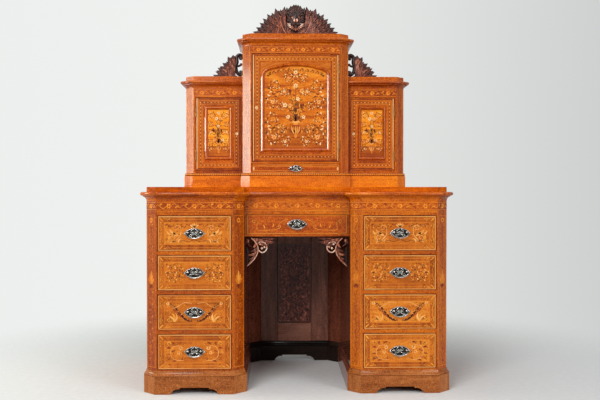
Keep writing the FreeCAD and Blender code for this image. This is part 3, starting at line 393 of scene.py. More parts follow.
def dress(name, slot, materials, edge, choose=None, long_axis=None, boards=None):
    """A copy of a CAD node, or of its first boards, with eased edges, grain, and a material for each face."""
    bm = bmesh.new()
    bm.from_mesh(nodes[name].data)
    carry_grain(bm)
    layer, count = number_boards(bm)
    if boards:
        extra = [f for f in bm.faces if f[layer] >= boards]
        bmesh.ops.delete(bm, geom=extra, context="FACES")
        count = boards
    bmesh.ops.dissolve_limit(bm, angle_limit=SAME_PLANE, verts=bm.verts[:], edges=bm.edges[:])
    for face in bm.faces:
        face.smooth = any(SOFT_BEND[0] < e.calc_face_angle(0.0) < SOFT_BEND[1] for e in face.edges)
    for number in range(count):
        sharp = [e for e in bm.edges if e.is_manifold and e.link_faces[0][layer] == number
                 and e.calc_face_angle(0.0) > SHARP_BEND]
        made = bmesh.ops.bevel(bm, geom=sharp, offset=edge, offset_type="OFFSET", affect="EDGES",
                               segments=2, profile=0.5, clamp_overlap=True, material=-1)
        for face in made["faces"]:
            face.smooth = True
    groups = [{v for f in bm.faces if f[layer] == number for v in f.verts} for number in range(count)]
    write_grain(bm, groups, random.Random(name), long_axis)
    for face in bm.faces:
        face.material_index = choose(face) if choose else 0
    finish_piece(bm, name + "_finished", nodes[name]["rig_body"], materials, slot, name)


print("boards can be dressed")

# %% Carcass
KNEE_HALF_WIDTH = 0.2045
KNEE_FRONT = -0.26
KNEE_TOP = 0.587
FOOT_FRONT = 0.20
FOOT_TOP = 0.088


def kneehole_side(face):
    """The faces that line the kneehole are dark, and its foot at the back is painted nearly black as shade.
    """
    middle = face.calc_center_median()
    inside = abs(middle.x) < KNEE_HALF_WIDTH and middle.y > KNEE_FRONT and middle.z < KNEE_TOP
    if not inside:
        return 0
    return 2 if middle.y > FOOT_FRONT and middle.z < FOOT_TOP else 1


carcass = {"desk_top": (0.0012, top_veneer), "desk_top_moulding": (0.0003, edge_veneer),
           "pedestal_posts": (0.0006, veneer), "pedestal_boards": (0.0006, veneer),
           "drawer_rails": (0.0006, veneer), "frieze_boards": (0.0003, veneer),
           "base_plinth": (0.0006, plinth_veneer), "cabinet_posts": (0.0006, veneer),
           "cabinet_boards": (0.0008, veneer)}
for name, (edge, outer) in carcass.items():
    dress(name, "veneer", [outer, dark_wood, foot_painted_shade], edge, kneehole_side)

# %% Cabinet plinth, cornices and backs
BEAD_LEVEL = 0.832
BEAD_MOULDING_HALF = 0.0055


def plinth_part(face):
    """The moulding that carries the beads is darker than the plinth."""
    return 1 if abs(face.calc_center_median().z - BEAD_LEVEL) < BEAD_MOULDING_HALF else 0


dress("cabinet_plinth", "veneer", [bright_veneer, plinth_veneer], 0.0005, plinth_part)
dress("cornice_mouldings", "veneer", [veneer], 0.0003)
dress("kneehole_back_frame", "dark_wood", [back_wood], 0.003)
dress("kneehole_back_panel", "dark_wood", [burr_wood], 0.0005)
dress("back_panels", "plain_wood", [plain_wood], 0.0008)
dress("drawer_runners", "plain_wood", [plain_wood], 0.0005)

# %% Drawers
SHOW_DEPTH = 0.002
pedestal_drawers = [f"{side}_drawer_{row}" for side in ("left", "right") for row in (1, 2, 3, 4)]
long_drawers = ["kneehole_drawer", "cabinet_drawer"]
drawer_names = pedestal_drawers + long_drawers


def show_face(front):
    """Chooses the veneer for a drawer's show face, and the lining wood for the rest."""
    return lambda face: 0 if face.calc_center_median().y < front + SHOW_DEPTH else 1


for name in drawer_names:
    dress(name, "veneer", [veneer, plain_wood], 0.0006, show_face(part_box(name)[0].y))

# %% Doors
STILES_AND_RAILS = 4
door_names = ["left_door", "centre_door", "right_door"]
golden = wood("panel_ground_veneer", (150, 60, 4), (210, 108, 12), (242, 156, 44), burr=0.4, stretch=0.14)
pale_gold = wood("side_panel_ground_veneer", (206, 106, 8), (244, 152, 24), (254, 190, 60),
                 burr=0.35, stretch=0.2)
for name in door_names:
    dress(name + "_frame", "veneer", [veneer], 0.0004, boards=STILES_AND_RAILS)
    ground = golden if name == "centre_door" else pale_gold
    dress(name + "_panel", "inlaid_panel", [ground], 0.0003, long_axis=0)

# %% [markdown]
# ## Marquetry cuttings
# The ornament of the drawers and doors is marquetry: thin leaves of coloured wood, let into the
# veneer. A painted texture would blur when seen close, so each cutting is a real thin piece. It
# is drawn flat in millimetres, as a marquetry cutter does on paper: a leaf starts as a disc and is
# squeezed to a point, a string is an inset ring, and a stem is a curve with a flat ribbon section.
# Paler woods lie a few hundredths higher, so that cuttings that cross never fight for one plane.

# %% Inlay woods
inlay_woods = {
    "band": crossband,
    "rust": wood("rust_inlay_wood", (110, 36, 2), (174, 72, 6), (220, 114, 22), burr=0.72),
    "field": wood("field_inlay_wood", (164, 78, 10), (202, 106, 20), (228, 138, 40), burr=0.5),
    "red": wood("red_inlay_wood", (104, 34, 6), (150, 58, 12), (182, 82, 20), burr=0.3),
    "dark": wood("dark_inlay_wood", (44, 18, 6), (78, 34, 10), (110, 54, 18), burr=0.3),
    "amber": wood("amber_inlay_wood", (210, 106, 14), (234, 132, 30), (244, 156, 50), burr=0.3),
    "gold": wood("golden_inlay_wood", (204, 112, 24), (228, 140, 42), (240, 164, 66), burr=0.3),
    "pale": wood("pale_inlay_wood", (218, 134, 56), (238, 160, 80), (246, 186, 110), burr=0.3),
    "cream": wood("cream_inlay_wood", (232, 174, 104), (244, 200, 136), (250, 220, 168), burr=0.3),
    "olive": wood("olive_inlay_wood", (104, 52, 6), (148, 82, 14), (178, 108, 28), burr=0.3),
}
wood_names = list(inlay_woods)
cutting_height = {"band": 0.04, "rust": 0.04, "field": 0.05, "red": 0.11, "olive": 0.13, "dark": 0.15,
                  "amber": 0.16, "gold": 0.17, "pale": 0.19, "cream": 0.21}
print("inlay woods:", ", ".join(wood_names))

# %% A sheet of cuttings
CUTTING_TONE = 0.06
MM = 0.001


def new_art(seed):
    """An empty sheet of cuttings."""
    return {"bm": carry_grain(bmesh.new()), "stems": {}, "rng": random.Random(seed)}


def run_grain(art, verts, run):
    """Lets the grain of one cutting run along a direction."""
    grain = art["bm"].verts.layers.float_vector["grain"]
    tone = art["bm"].verts.layers.float["tone"]
    along = Vector(run).to_2d().normalized()
    across = Vector((-along.y, along.x))
    start = Vector([art["rng"].uniform(0, FIGURE_ROOM) for _ in range(3)])
    shift = art["rng"].uniform(-CUTTING_TONE, CUTTING_TONE)
    for vert in verts:
        spot = vert.co.to_2d() * MM
        vert[grain] = Vector((spot.dot(along), spot.dot(across), 0)) + start
        vert[tone] = shift


print("cuttings vary in tone by", CUTTING_TONE)


# %% Leaves, berries and flowers
def disc(art, wood_name, segments):
    """A flat disc of one wood, ready to be squeezed into a shape."""
    verts = bmesh.ops.create_circle(art["bm"], cap_ends=True, segments=segments, radius=1)["verts"]
    verts[0].link_faces[0].material_index = wood_names.index(wood_name)
    return verts


def leaf(art, wood_name, root, tip, width, bend=0.0):
    """A pointed leaf from root to tip; bend bows it to its left."""
    root, tip = Vector(root), Vector(tip)
    run = tip - root
    across = Vector((-run.y, run.x)).normalized()
    verts = disc(art, wood_name, 12)
    for vert in verts:
        share = (1 + vert.co.x) / 2
        swell = math.copysign(abs(vert.co.y) ** 1.4, vert.co.y) * width / 2
        spot = root + run * share + across * (swell + bend * run.length * 4 * share * (1 - share))
        vert.co = (spot.x, spot.y, cutting_height[wood_name])
    run_grain(art, verts, run)


def side_leaf(art, wood_name, side, root, tip, width, bend=0.0):
    """A leaf on one side of the middle line; a side of -1 mirrors it, bend and all."""
    leaf(art, wood_name, (side * root[0], root[1]), (side * tip[0], tip[1]), width, bend * side)


def dot(art, wood_name, centre, radius, tall=1.0):
    """A round or oval berry."""
    verts = disc(art, wood_name, 10)
    for vert in verts:
        vert.co = (centre[0] + vert.co.x * radius, centre[1] + vert.co.y * radius * tall,
                   cutting_height[wood_name] + 0.02)
    run_grain(art, verts, (1, 0))


def flower(art, wood_name, eye, centre, radius, petals, turn=0.0):
    """Petals round an eye."""
    for i in range(petals):
        angle = turn + 2 * math.pi * i / petals
        way = Vector((math.cos(angle), math.sin(angle)))
        root = Vector(centre) + way * radius * 0.18
        leaf(art, wood_name, root, Vector(centre) + way * radius, radius * 3.6 / petals)
    dot(art, eye, centre, radius * 0.26)


print("leaves, berries and flowers can be cut")


# %% Strips and rings
def inside(box, by):
    """A box (left, bottom, right, top) drawn in on all sides."""
    return (box[0] + by, box[1] + by, box[2] - by, box[3] - by)


def rectangle(art, wood_name, box):
    """A flat rectangle of one wood that fills a box."""
    left, bottom, right, top = box
    verts = bmesh.ops.create_grid(art["bm"], x_segments=1, y_segments=1, size=1)["verts"]
    for vert in verts:
        vert.co = (right if vert.co.x > 0 else left, top if vert.co.y > 0 else bottom,
                   cutting_height[wood_name])
    verts[0].link_faces[0].material_index = wood_names.index(wood_name)
    return verts


def strip(art, wood_name, box):
    """A straight strip that fills a box, with the grain along it."""
    left, bottom, right, top = box
    verts = rectangle(art, wood_name, box)
    run_grain(art, verts, (1, 0) if right - left > top - bottom else (0, 1))


def ring(art, wood_name, box, width, cross=False):
    """A mitred frame of four strips inside a box, with the grain along them or across."""
    bm = art["bm"]
    face = rectangle(art, wood_name, box)[0].link_faces[0]
    strips = bmesh.ops.inset_region(bm, faces=[face], thickness=width, use_boundary=True,
                                    use_even_offset=True)["faces"]
    bmesh.ops.delete(bm, geom=[face], context="FACES_ONLY")
    mitres = dict.fromkeys(e for f in strips for e in f.edges if len(e.link_faces) == 2)
    bmesh.ops.split_edges(bm, edges=list(mitres))
    for length in strips:
        outer = max(length.edges, key=lambda e: e.calc_length())
        run = outer.verts[1].co - outer.verts[0].co
        run_grain(art, length.verts, (-run.y, run.x) if cross else run)


print("strips and rings can be cut")


# %% Stems
def stem(art, wood_name, points, side=1):
    """A tapering stem through control points of (x, y, half width); a side of -1 mirrors it."""
    line = [(side * x, y, half) for x, y, half in points]
    art["stems"].setdefault(wood_name, []).append(line)


def away(start, angle, length):
    """The spot that lies at an angle and a length from another."""
    return (start[0] + length * math.cos(angle), start[1] + length * math.sin(angle))


def spiral(centre, start, turns, outer, inner, wide, thin):
    """Control points of a spiral from its outer end to its eye; turns below zero run clockwise."""
    count = max(5, round(abs(turns) * 8))
    points = []
    for i in range(count + 1):
        share = i / count
        angle = math.radians(start) + 2 * math.pi * turns * share
        spot = away(centre, angle, outer + (inner - outer) * share)
        points.append((*spot, wide + (thin - wide) * share))
    return points


ribbon_data = bpy.data.curves.new("ribbon", "CURVE")
ribbon_data.dimensions = "2D"
section = ribbon_data.splines.new("POLY")
section.points.add(3)
for point, corner in zip(section.points, ((-1, -1), (1, -1), (1, 1), (-1, 1))):
    point.co = (*corner, 0, 1)
section.use_cyclic_u = True
ribbon = put("ribbon", ribbon_data)


def stem_mesh(lines):
    """Tapered flat ribbons along smooth curves, as a mesh in millimetres."""
    curve = bpy.data.curves.new("stems", "CURVE")
    curve.dimensions = "2D"
    curve.fill_mode = "NONE"
    curve.resolution_u = 4
    curve.bevel_mode = "OBJECT"
    curve.bevel_object = ribbon
    curve.use_fill_caps = True
    for points in lines:
        line = curve.splines.new("NURBS")
        line.points.add(len(points) - 1)
        for point, (x, y, half) in zip(line.points, points):
            point.co = (x, y, 0, 1)
            point.radius = half
        line.order_u = 3
        line.use_endpoint_u = True
    holder = put("stems", curve)
    depsgraph = bpy.context.evaluated_depsgraph_get()
    mesh = bpy.data.meshes.new_from_object(holder.evaluated_get(depsgraph))
    bpy.data.objects.remove(holder)
    bpy.data.curves.remove(curve)
    return mesh


print("stems have a section of", len(section.points), "corners")

# %% Laying a sheet
CUTTING_DEPTH = 0.3
STEM_DEPTH = 0.1
to_the_front = (0, -1, 0)


def face_place(centre, normal):
    """The matrix that lays a flat sheet on an upright face."""
    out = Vector(normal).normalized()
    up = Vector((0, 0, 1))
    turn = Matrix((up.cross(out), up, out)).transposed().to_4x4()
    return Matrix.Translation(Vector(centre)) @ turn @ Matrix.Scale(MM, 4)


def lay(art, name, body, centre, normal=to_the_front, slot="inlaid_panel"):
    """Gives the cuttings thickness, adds the stems, and lays the sheet on a face of a body."""
    bm = art["bm"]
    made = bmesh.ops.extrude_face_region(bm, geom=bm.faces[:])["geom"]
    lower = [v for v in made if isinstance(v, bmesh.types.BMVert)]
    bmesh.ops.translate(bm, verts=lower, vec=(0, 0, -CUTTING_DEPTH))
    for wood_name, lines in art["stems"].items():
        known = set(bm.verts)
        mesh = stem_mesh(lines)
        before = len(bm.faces)
        bm.from_mesh(mesh)
        bpy.data.meshes.remove(mesh)
        bm.faces.ensure_lookup_table()
        for face in bm.faces[before:]:
            face.material_index = wood_names.index(wood_name)
        bmesh.ops.remove_doubles(bm, verts=[v for v in bm.verts if v not in known], dist=1e-4)
        fresh = [v for v in bm.verts if v not in known]
        for vert in fresh:
            vert.co.z = cutting_height[wood_name] if vert.co.z > 0 else -STEM_DEPTH
        run_grain(art, fresh, (1, 0))
    bmesh.ops.recalc_face_normals(bm, faces=bm.faces[:])
    bmesh.ops.transform(bm, matrix=face_place(centre, normal), verts=bm.verts[:])
    finish_piece(bm, name, body, list(inlay_woods.values()), slot)


print("cuttings can be laid")

# %% [markdown]
# ## Drawer fronts
# Each pedestal drawer has a dark line of painted shadow at its edge, a pale string inside it, a
# crossbanded border with a leaf spray in each corner, an inner string, and a field of ornament on
# both sides of the pull. The four rows have four designs: volutes under a garland, a fine arabesque
# with berries, a dark festoon, and a floral spray. A mirrored half is drawn once, because the cutter
# sawed both halves in one packet.

# %% Border of a pedestal drawer
EDGE_GAP = 0.9
EDGE_SHADOW_LINE = 1.4
STRING = 2.6
FINE_LINE = 0.6
INNER_STRING = 1.0
BORDER = 23.0
SPRAY_ROOM = 30


def corner_spray(art, x, y, side, rise):
    """A leaf on the mitre, between two curls that run out along the border."""
    leaf(art, "gold", (x + side * 3, y + rise * 3), (x + side * 18, y + rise * 18), 4.5)
    for flat in (True, False):
        curl = spiral((-11, 11), -100, -1.0, 7, 2, 1.0, 0.7)
        spots = [(px, py, w) if flat else (py, px, w) for px, py, w in curl]
        stem(art, "gold", [(x + side * px, y + rise * py, w) for px, py, w in spots])
        for far, high in ((-24, 5), (-24, 15), (2, 15)):
            root, tip = ((-13, 9), (far, high)) if flat else ((9, -13), (high, far))
            leaf(art, "gold" if high == 15 else "red", (x + side * root[0], y + rise * root[1]),
                 (x + side * tip[0], y + rise * tip[1]), 3.2, 0.1 * side * rise)
    dot(art, "red", (x + side * 6, y + rise * 6), 1.8)


def border_lines(art, side, edge, field):
    """Two fine lines along the border above or below the field, and a wavy stem at one end."""
    middle = (BORDER + STRING) / 2
    level, end = side * (edge[3] - middle), side * (edge[2] - middle)
    left, right = field[0] + SPRAY_ROOM, field[2] - SPRAY_ROOM
    for wood_name, y in (("gold", level), ("red", level - side * 4)):
        strip(art, wood_name, (left, y - 0.5, right, y + 0.5))
    waves = 8
    stem(art, "gold", [(end + 3 * (-1) ** i, field[1] + (field[3] - field[1]) * i / waves, 0.8)
                       for i in range(waves + 1)])


def drawer_border(art, half_width, half_height):
    """A dark line of painted shadow at the edge, then strings, crossbanding and corner sprays."""
    edge = inside((-half_width, -half_height, half_width, half_height), EDGE_GAP)
    # The dark ring at the very edge is painted shadow of the gap round the drawer.
    ring(art, "dark", edge, EDGE_SHADOW_LINE)
    ring(art, "pale", inside(edge, EDGE_SHADOW_LINE), STRING)
    ring(art, "dark", inside(edge, EDGE_SHADOW_LINE + STRING), FINE_LINE)
    band = EDGE_SHADOW_LINE + STRING + FINE_LINE
    ring(art, "band", inside(edge, band), BORDER - EDGE_SHADOW_LINE - STRING - FINE_LINE, cross=True)
    field = inside(edge, BORDER)
    ring(art, "red", field, FINE_LINE)
    ring(art, "gold", inside(field, FINE_LINE), INNER_STRING)
    strip(art, "field", inside(field, FINE_LINE + INNER_STRING))
    for side in (-1, 1):
        border_lines(art, side, edge, field)
        for rise in (-1, 1):
            corner_spray(art, side * field[2], rise * field[3], side, rise)


def fine_scrolls(art, side, reach, level):
    """Small golden scrolls in rows, which fill the field behind the main ornament."""
    for i, x in enumerate((46, 64, 82, 98)):
        for j, y in enumerate((-level, 0, level)):
            turns = 1.1 if (i + j) % 2 else -1.1
            size = reach * (0.8 + 0.2 * (j % 2))
            stem(art, "gold", spiral((x, y), 70 * i + 120 * j, turns, size, 1.6, 0.6, 0.4), side)
            for turn in (30, 150, 270):
                angle = math.radians(turn + 40 * i)
                root = away((x, y), angle, size * 0.7)
                wood_name = ("gold", "olive", "field")[(turn // 120 + j) % 3]
                side_leaf(art, wood_name, side, root, away(root, angle + 0.9, 6.5), 3.2, 0.15)


print("a border is", BORDER, "mm wide")


# %% Rows one and two
def volutes(art, side):
    """Row one: a pale S scroll, a red garland over it, and ribbons under the pull."""
    upper = spiral((64, 19), 200, -1.2, 14, 3, 1.4, 1.0)
    lower = spiral((79, -17), 190, 1.3, 16, 3, 1.7, 0.9)
    stem(art, "pale", [*reversed(upper), (50, 2, 1.7), (56, -14, 1.8), *lower], side)
    for root, tip, width, bend in (((58, -8), (80, 8), 8, -0.2), ((64, -2), (92, 16), 8, -0.2),
                                   ((52, -20), (60, -36), 7, 0.2), ((66, -30), (92, -36), 6, 0.15),
                                   ((88, -4), (102, 10), 6, -0.2)):
        side_leaf(art, "pale", side, root, tip, width, bend)
    garland = 11
    for i in range(garland):
        share = i / (garland - 1)
        x = 14 + 88 * share
        y = 36 - 13 * math.sin(math.pi * share)
        leaf(art, "red", (side * x, y), (side * (x + 9), y + (4 if i % 2 else -6)), 5, 0.1)
    stem(art, "dark", [(4, -24, 0.7), (24, -36, 0.9), (44, -22, 0.9), (60, -34, 0.5)], side)
    side_leaf(art, "gold", side, (102, -36), (98, 2), 9, 0.12)
    side_leaf(art, "red", side, (90, 34), (103, 18), 6)


def arabesque(art, side):
    """Row two: thin stems in small scrolls, with dark berries."""
    for x, y, start, turns, size in ((58, 12, 215, -1.3, 15), (58, -14, 145, 1.3, 15),
                                     (86, 20, 200, -1.4, 13), (86, -20, 160, 1.4, 13),
                                     (100, 0, 180, 1.2, 8)):
        stem(art, "dark", spiral((x, y), start, turns, size, 2, 0.8, 0.5), side)
        dot(art, "dark", (side * x, y), 2.6)
        for turn in range(0, 360, 72):
            angle = math.radians(turn + 20)
            side_leaf(art, "gold" if turn % 144 else "pale", side, away((x, y), angle, size * 0.72),
                      away((x, y), angle, size * 1.25), 4.6, 0.1)
    stem(art, "dark", [(40, 0, 0.9), (62, 0, 0.9), (80, 4, 0.8), (100, 0, 0.5)], side)
    for x, y in ((48, 26), (72, 34), (48, -28), (72, -36), (104, 32), (104, -32), (70, 0)):
        dot(art, "red", (side * x, y), 2.2)


print("rows one and two have their designs")


# %% Rows three and four
def festoon(art, side):
    """Row three: a dark festoon hangs from the upper corner to below the pull."""
    tufts = 17
    for i in range(tufts):
        share = i / (tufts - 1)
        spot = (102 - 92 * share, 36 - 66 * math.sin(share * math.pi / 2) ** 1.6)
        swell = 6 + 6 * math.sin(math.pi * share)
        turn = math.radians(-130 + 100 * share)
        for way, wood_name in ((0.75, "red"), (-0.75, "dark")):
            side_leaf(art, wood_name, side, spot, away(spot, turn + way, swell), swell * 0.62, 0.1 * way)
        if i % 2:
            dot(art, "pale", (side * spot[0], spot[1]), 1.5)
    for turn, length, wood_name in ((100, 30, "pale"), (70, 34, "gold"), (40, 30, "pale"),
                                    (130, 28, "gold"), (12, 22, "gold")):
        tip = away((74, -34), math.radians(turn), length)
        side_leaf(art, wood_name, side, (74, -36), tip, 7, 0.16)
    stem(art, "gold", spiral((94, -28), 160, 1.3, 11, 2, 1.2, 0.8), side)
    stem(art, "pale", [(10, 34, 1.0), (40, 40, 1.2), (58, 24, 1.2), (84, 14, 0.7)], side)
    flower(art, "pale", "red", (side * 100, 33), 7.5, 6)


def floral_spray(art, side):
    """Row four: a pale stem with red leaves and open flowers."""
    stem(art, "pale", [(42, -32, 1.3), (66, -36, 1.3), (92, -18, 1.2), (88, 14, 1.0), (66, 26, 0.9),
                       (50, 18, 0.7)], side)
    stem(art, "gold", [(70, -32, 1.0), (72, -10, 0.9), (60, 2, 0.7)], side)
    for root, tip, width, bend in (((52, -35), (48, -18), 7, 0.2), ((66, -34), (84, -38), 7, 0.1),
                                   ((82, -27), (104, -34), 9, 0.2), ((91, -10), (106, -12), 8, 0.2),
                                   ((90, 4), (72, 8), 7, 0.2), ((88, 14), (104, 24), 8, -0.2),
                                   ((78, 22), (76, 38), 7, -0.2), ((62, 25), (46, 36), 6, -0.2),
                                   ((90, -18), (76, -22), 6, 0.2)):
        side_leaf(art, "red", side, root, tip, width, bend)
    flower(art, "pale", "dark", (side * 52, 14), 9, 6, 0.3)
    flower(art, "gold", "dark", (side * 96, 32), 9, 7)
    flower(art, "pale", "red", (side * 60, -4), 7.5, 5)
    flower(art, "gold", "red", (side * 102, -4), 6, 5)
    for x, y in ((44, -4), (104, 12), (84, 36), (40, 30)):
        dot(art, "dark", (side * x, y), 1.8)


row_designs = {"1": volutes, "2": arabesque, "3": festoon, "4": floral_spray}
print(len(row_designs), "row designs")


# %% Lay the pedestal drawers
def front_of(name):
    """Half the width and height of a node's front in millimetres, and the middle of that front."""
    low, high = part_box(name)
    middle = ((low.x + high.x) / 2, low.y, (low.z + high.z) / 2)
    return (high.x - low.x) * 500, (high.z - low.z) * 500, middle


for name in pedestal_drawers:
    half_width, half_height, middle = front_of(name)
    row = name[-1]
    art = new_art(name)
    drawer_border(art, half_width, half_height)
    for side in (-1, 1):
        fine_scrolls(art, side, reach=9, level=27)
        row_designs[row](art, side)
    if row == "1":
        for turn in (-50, -25, 0, 25, 50):
            angle = math.radians(90 + turn)
            leaf(art, "pale", (0, 22), (22 * math.cos(angle), 22 + 17 * math.sin(angle)), 6)
    lay(art, name + "_marquetry", name, middle)


# %% Lay the two long drawers
def scroll_lines(art, side, half_width, half_height):
    """Golden lines that run from an upright scroll at each end to the pull."""
    end = half_width - 26
    eye = (end, half_height * 0.35)
    outer_scroll = spiral(eye, 160, 1.2, 9, 2, 1.3, 1.0)
    inner_scroll = spiral((70, -half_height * 0.22), 280, -1.2, 8, 2, 1.1, 0.8)
    stem(art, "gold", [*reversed(outer_scroll), (end - 14, -half_height * 0.2, 1.3),
                       (end - 8, -half_height * 0.66, 1.3), (end - 50, -half_height * 0.62, 1.2),
                       (84, -half_height * 0.58, 1.1), *inner_scroll], side)
    stem(art, "gold", [(70, 0, 0.9), (58, half_height * 0.42, 1.0), (34, half_height * 0.56, 0.6)], side)
    for x, y, turn in ((110, -0.45, 60), (126, -0.45, 70), (142, -0.45, 60), (96, -0.30, 110),
                       (152, 0.1, 20)):
        root = (x, half_height * y)
        wood_name = "gold" if turn != 60 else "red"
        side_leaf(art, wood_name, side, root, away(root, math.radians(turn), 15), 5, 0.15)
    dot(art, "dark", (side * eye[0], eye[1]), 2.2)


LONG_STRING = 1.8
LONG_LINE = 0.7
LONG_BAND = 5
for name in long_drawers:
    half_width, half_height, middle = front_of(name)
    art = new_art(name)
    edge = inside((-half_width, -half_height, half_width, half_height), EDGE_GAP)
    ring(art, "gold", edge, LONG_STRING)
    ring(art, "red", inside(edge, LONG_STRING), LONG_LINE)
    ground = inside(edge, LONG_STRING + LONG_LINE)
    if name == "kneehole_drawer":
        strip(art, "rust", ground)
        for side in (-1, 1):
            scroll_lines(art, side, half_width, half_height)
    else:
        ring(art, "band", ground, LONG_BAND, cross=True)
        ring(art, "gold", inside(ground, LONG_BAND), 1.0)
        for side in (-1, 1):
            dot(art, "cream", (side * (half_width - 5), 0), 3.0, 2.6)
    lay(art, name + "_marquetry", name, middle)

# %% [markdown]
# ## Friezes
# Under the desk top and under each cornice runs a frieze: a rust band between amber strings,
# with a row of flowers on scrolling stems. One helper draws a band of any length, so the friezes
# match. The band crosses the joint between frieze board and post, as the veneer does on the real desk.

# %% Frieze helper
FRIEZE_STRING = 1.2


def frieze_band(art, half_width, low, high, repeat):
    """Amber strings, a rust ground, and flowers on scrolling stems."""
    strip(art, "amber", (-half_width, high - FRIEZE_STRING, half_width, high))
    strip(art, "amber", (-half_width, low, half_width, low + FRIEZE_STRING))
    strip(art, "rust", (-half_width, low + FRIEZE_STRING, half_width, high - FRIEZE_STRING))
    middle = (low + high) / 2
    tall = (high - low) / 2 - 2.5
    count = round(2 * half_width / repeat)
    step = 2 * half_width / count
    wave = ((0.10, 0.2, 0.9), (0.20, 1.0, 1.0), (0.33, 0.3, 1.0), (0.42, -0.8, 0.9), (0.50, 0.0, 0.6))
    for i in range(count):
        x = step * (i + 0.5) - half_width
        flower(art, "amber", "red", (x, middle), tall * 0.95, 6)
        for side in (-1, 1):
            stem(art, "amber", [(x + side * step * across, middle + side * tall * rise, half)
                                for across, rise, half in wave])
            for across, rise, length in ((0.24, -0.6, 0.13), (0.36, 0.7, 0.12), (0.30, -0.1, 0.12)):
                root = (x + side * step * across, middle + side * tall * rise)
                tip = (root[0] + side * step * length, root[1] - side * tall * 0.5 * rise)
                leaf(art, "red" if rise > 0 else "amber", root, tip, tall * 0.42, 0.2 * side)
            dot(art, "red", (x + side * step * 0.5, middle), 1.6)


print("frieze helper ready")

# %% Lay the friezes
FRONT = -0.3035
RECESS = -0.2135
CENTRE_FRONT = 0.0265
SIDE_FRONT = 0.0965
PEDESTAL_X = 0.388
SIDE_CABINET_X = 0.3265
FRIEZE_LEVEL = 0.700
desk_band = {"low": -6, "high": 21.5, "repeat": 88}
centre_band = {"low": -13, "high": 12, "repeat": 62}
side_band = {"low": -14, "high": 13, "repeat": 62}
friezes = {"left_frieze": ((-PEDESTAL_X, FRONT, FRIEZE_LEVEL), 144, desk_band),
           "right_frieze": ((PEDESTAL_X, FRONT, FRIEZE_LEVEL), 144, desk_band),
           "kneehole_frieze": ((0, RECESS, FRIEZE_LEVEL), 200, desk_band),
           "centre_cabinet_frieze": ((0, CENTRE_FRONT, 1.3505), 186, centre_band),
           "left_cabinet_frieze": ((-SIDE_CABINET_X, SIDE_FRONT, 1.179), 103, side_band),
           "right_cabinet_frieze": ((SIDE_CABINET_X, SIDE_FRONT, 1.179), 103, side_band)}
for name, (middle, half_width, band) in friezes.items():
    art = new_art(name)
    frieze_band(art, half_width, **band)
    if band is desk_band:
        below = band["low"] - 6
        strip(art, "amber", (-half_width, below, half_width, below + FRIEZE_STRING))
    lay(art, name, "desk", middle)

# %% [markdown]
# ## Canted corners
# The front corners are cut off at forty-five degrees, and each cut carries a slim drop of ornament
# between two strings. On the pedestals a golden flame sits half way down a thin twisting stem, and
# the frieze turns the corner above it. The small cabinets have only a dotted line.


# %% Drops on the pedestals
def pedestal_drop(art, half_width, top, bottom):
    """Strings, a twisting stem with leaves, a rosette above, and a flame in the middle."""
    for side in (-1, 1):
        strip(art, "amber", (side * half_width - 0.7, bottom, side * half_width + 0.7, top))
    strip(art, "amber", (-half_width, top - 1.4, half_width, top))
    strip(art, "amber", (-half_width, bottom, half_width, bottom + 1.4))
    turns = 12
    for low, high in ((60, top - 34), (bottom + 14, -22)):
        stem(art, "red", [(7 * (-1) ** i, high + (low - high) * i / turns, 0.9) for i in range(turns + 1)])
        for i in range(turns):
            y = high + (low - high) * (i + 0.5) / turns
            side = (-1) ** i
            side_leaf(art, "field", side, (3, y), (13, y + 9), 5.0, 0.2)
            side_leaf(art, "red", side, (2, y), (-9, y - 9), 4.0, 0.2)
    flower(art, "amber", "dark", (0, top - 18), 11, 8)
    for turn, length in ((-34, 30), (-14, 42), (14, 42), (34, 30), (0, 54)):
        wood_name = "gold" if turn == 0 else "amber"
        leaf(art, wood_name, (0, 0), away((0, 0), math.radians(90 + turn), length), 9)
    for turn in (-150, -120, -90, -60, -30):
        leaf(art, "red", (0, 0), away((0, 0), math.radians(turn), 16), 6)
    dot(art, "dark", (0, 0), 3)


DROP_LEVEL = 0.410
HALF_BODY = 0.573
HALF_KNEE = 0.203
CANT = 0.040
hands = {"left": -1, "right": 1}
for hand, side in hands.items():
    for corner, inward, place in ((HALF_BODY, -1, "outer"), (HALF_KNEE, 1, "inner")):
        art = new_art(hand + place)
        pedestal_drop(art, half_width=24, top=262, bottom=-312)
        frieze_band(art, half_width=28, low=284, high=311.5, repeat=56)
        middle = (side * (corner + inward * CANT / 2), FRONT + CANT / 2, DROP_LEVEL)
        lay(art, f"{hand}_{place}_corner_drop", "desk", middle, (-side * inward, -1, 0))


# %% Dotted lines on the cabinets
def dotted_line(art, half_width, half_height, pitch):
    """Two strings, and a line of dark lozenges between them."""
    for side in (-1, 1):
        strip(art, "gold", (side * half_width - 0.6, -half_height, side * half_width + 0.6, half_height))
    count = round(2 * half_height / pitch)
    for i in range(count):
        y = 2 * half_height * (i + 0.5) / count - half_height
        leaf(art, "red", (0, y - pitch * 0.3), (0, y + pitch * 0.3), 3.2)


HALF_CENTRE = 0.222
CENTRE_CANT = 0.035
HALF_CABINETS = 0.465
SIDE_CANT = 0.034
DOTS_FOOT = 0.842
cabinet_corners = {"centre": (HALF_CENTRE, CENTRE_FRONT, CENTRE_CANT, 1.364),
                   "side": (HALF_CABINETS, SIDE_FRONT, SIDE_CANT, 1.195)}
for place, (corner, front, cant, top) in cabinet_corners.items():
    for hand, side in hands.items():
        art = new_art(place + hand)
        dotted_line(art, half_width=19, half_height=(top - DOTS_FOOT) * 500, pitch=9.5)
        middle = (side * (corner - cant / 2), front + cant / 2, (DOTS_FOOT + top) / 2)
        lay(art, f"{place}_cabinet_{hand}_dots", "desk", middle, (side, -1, 0))
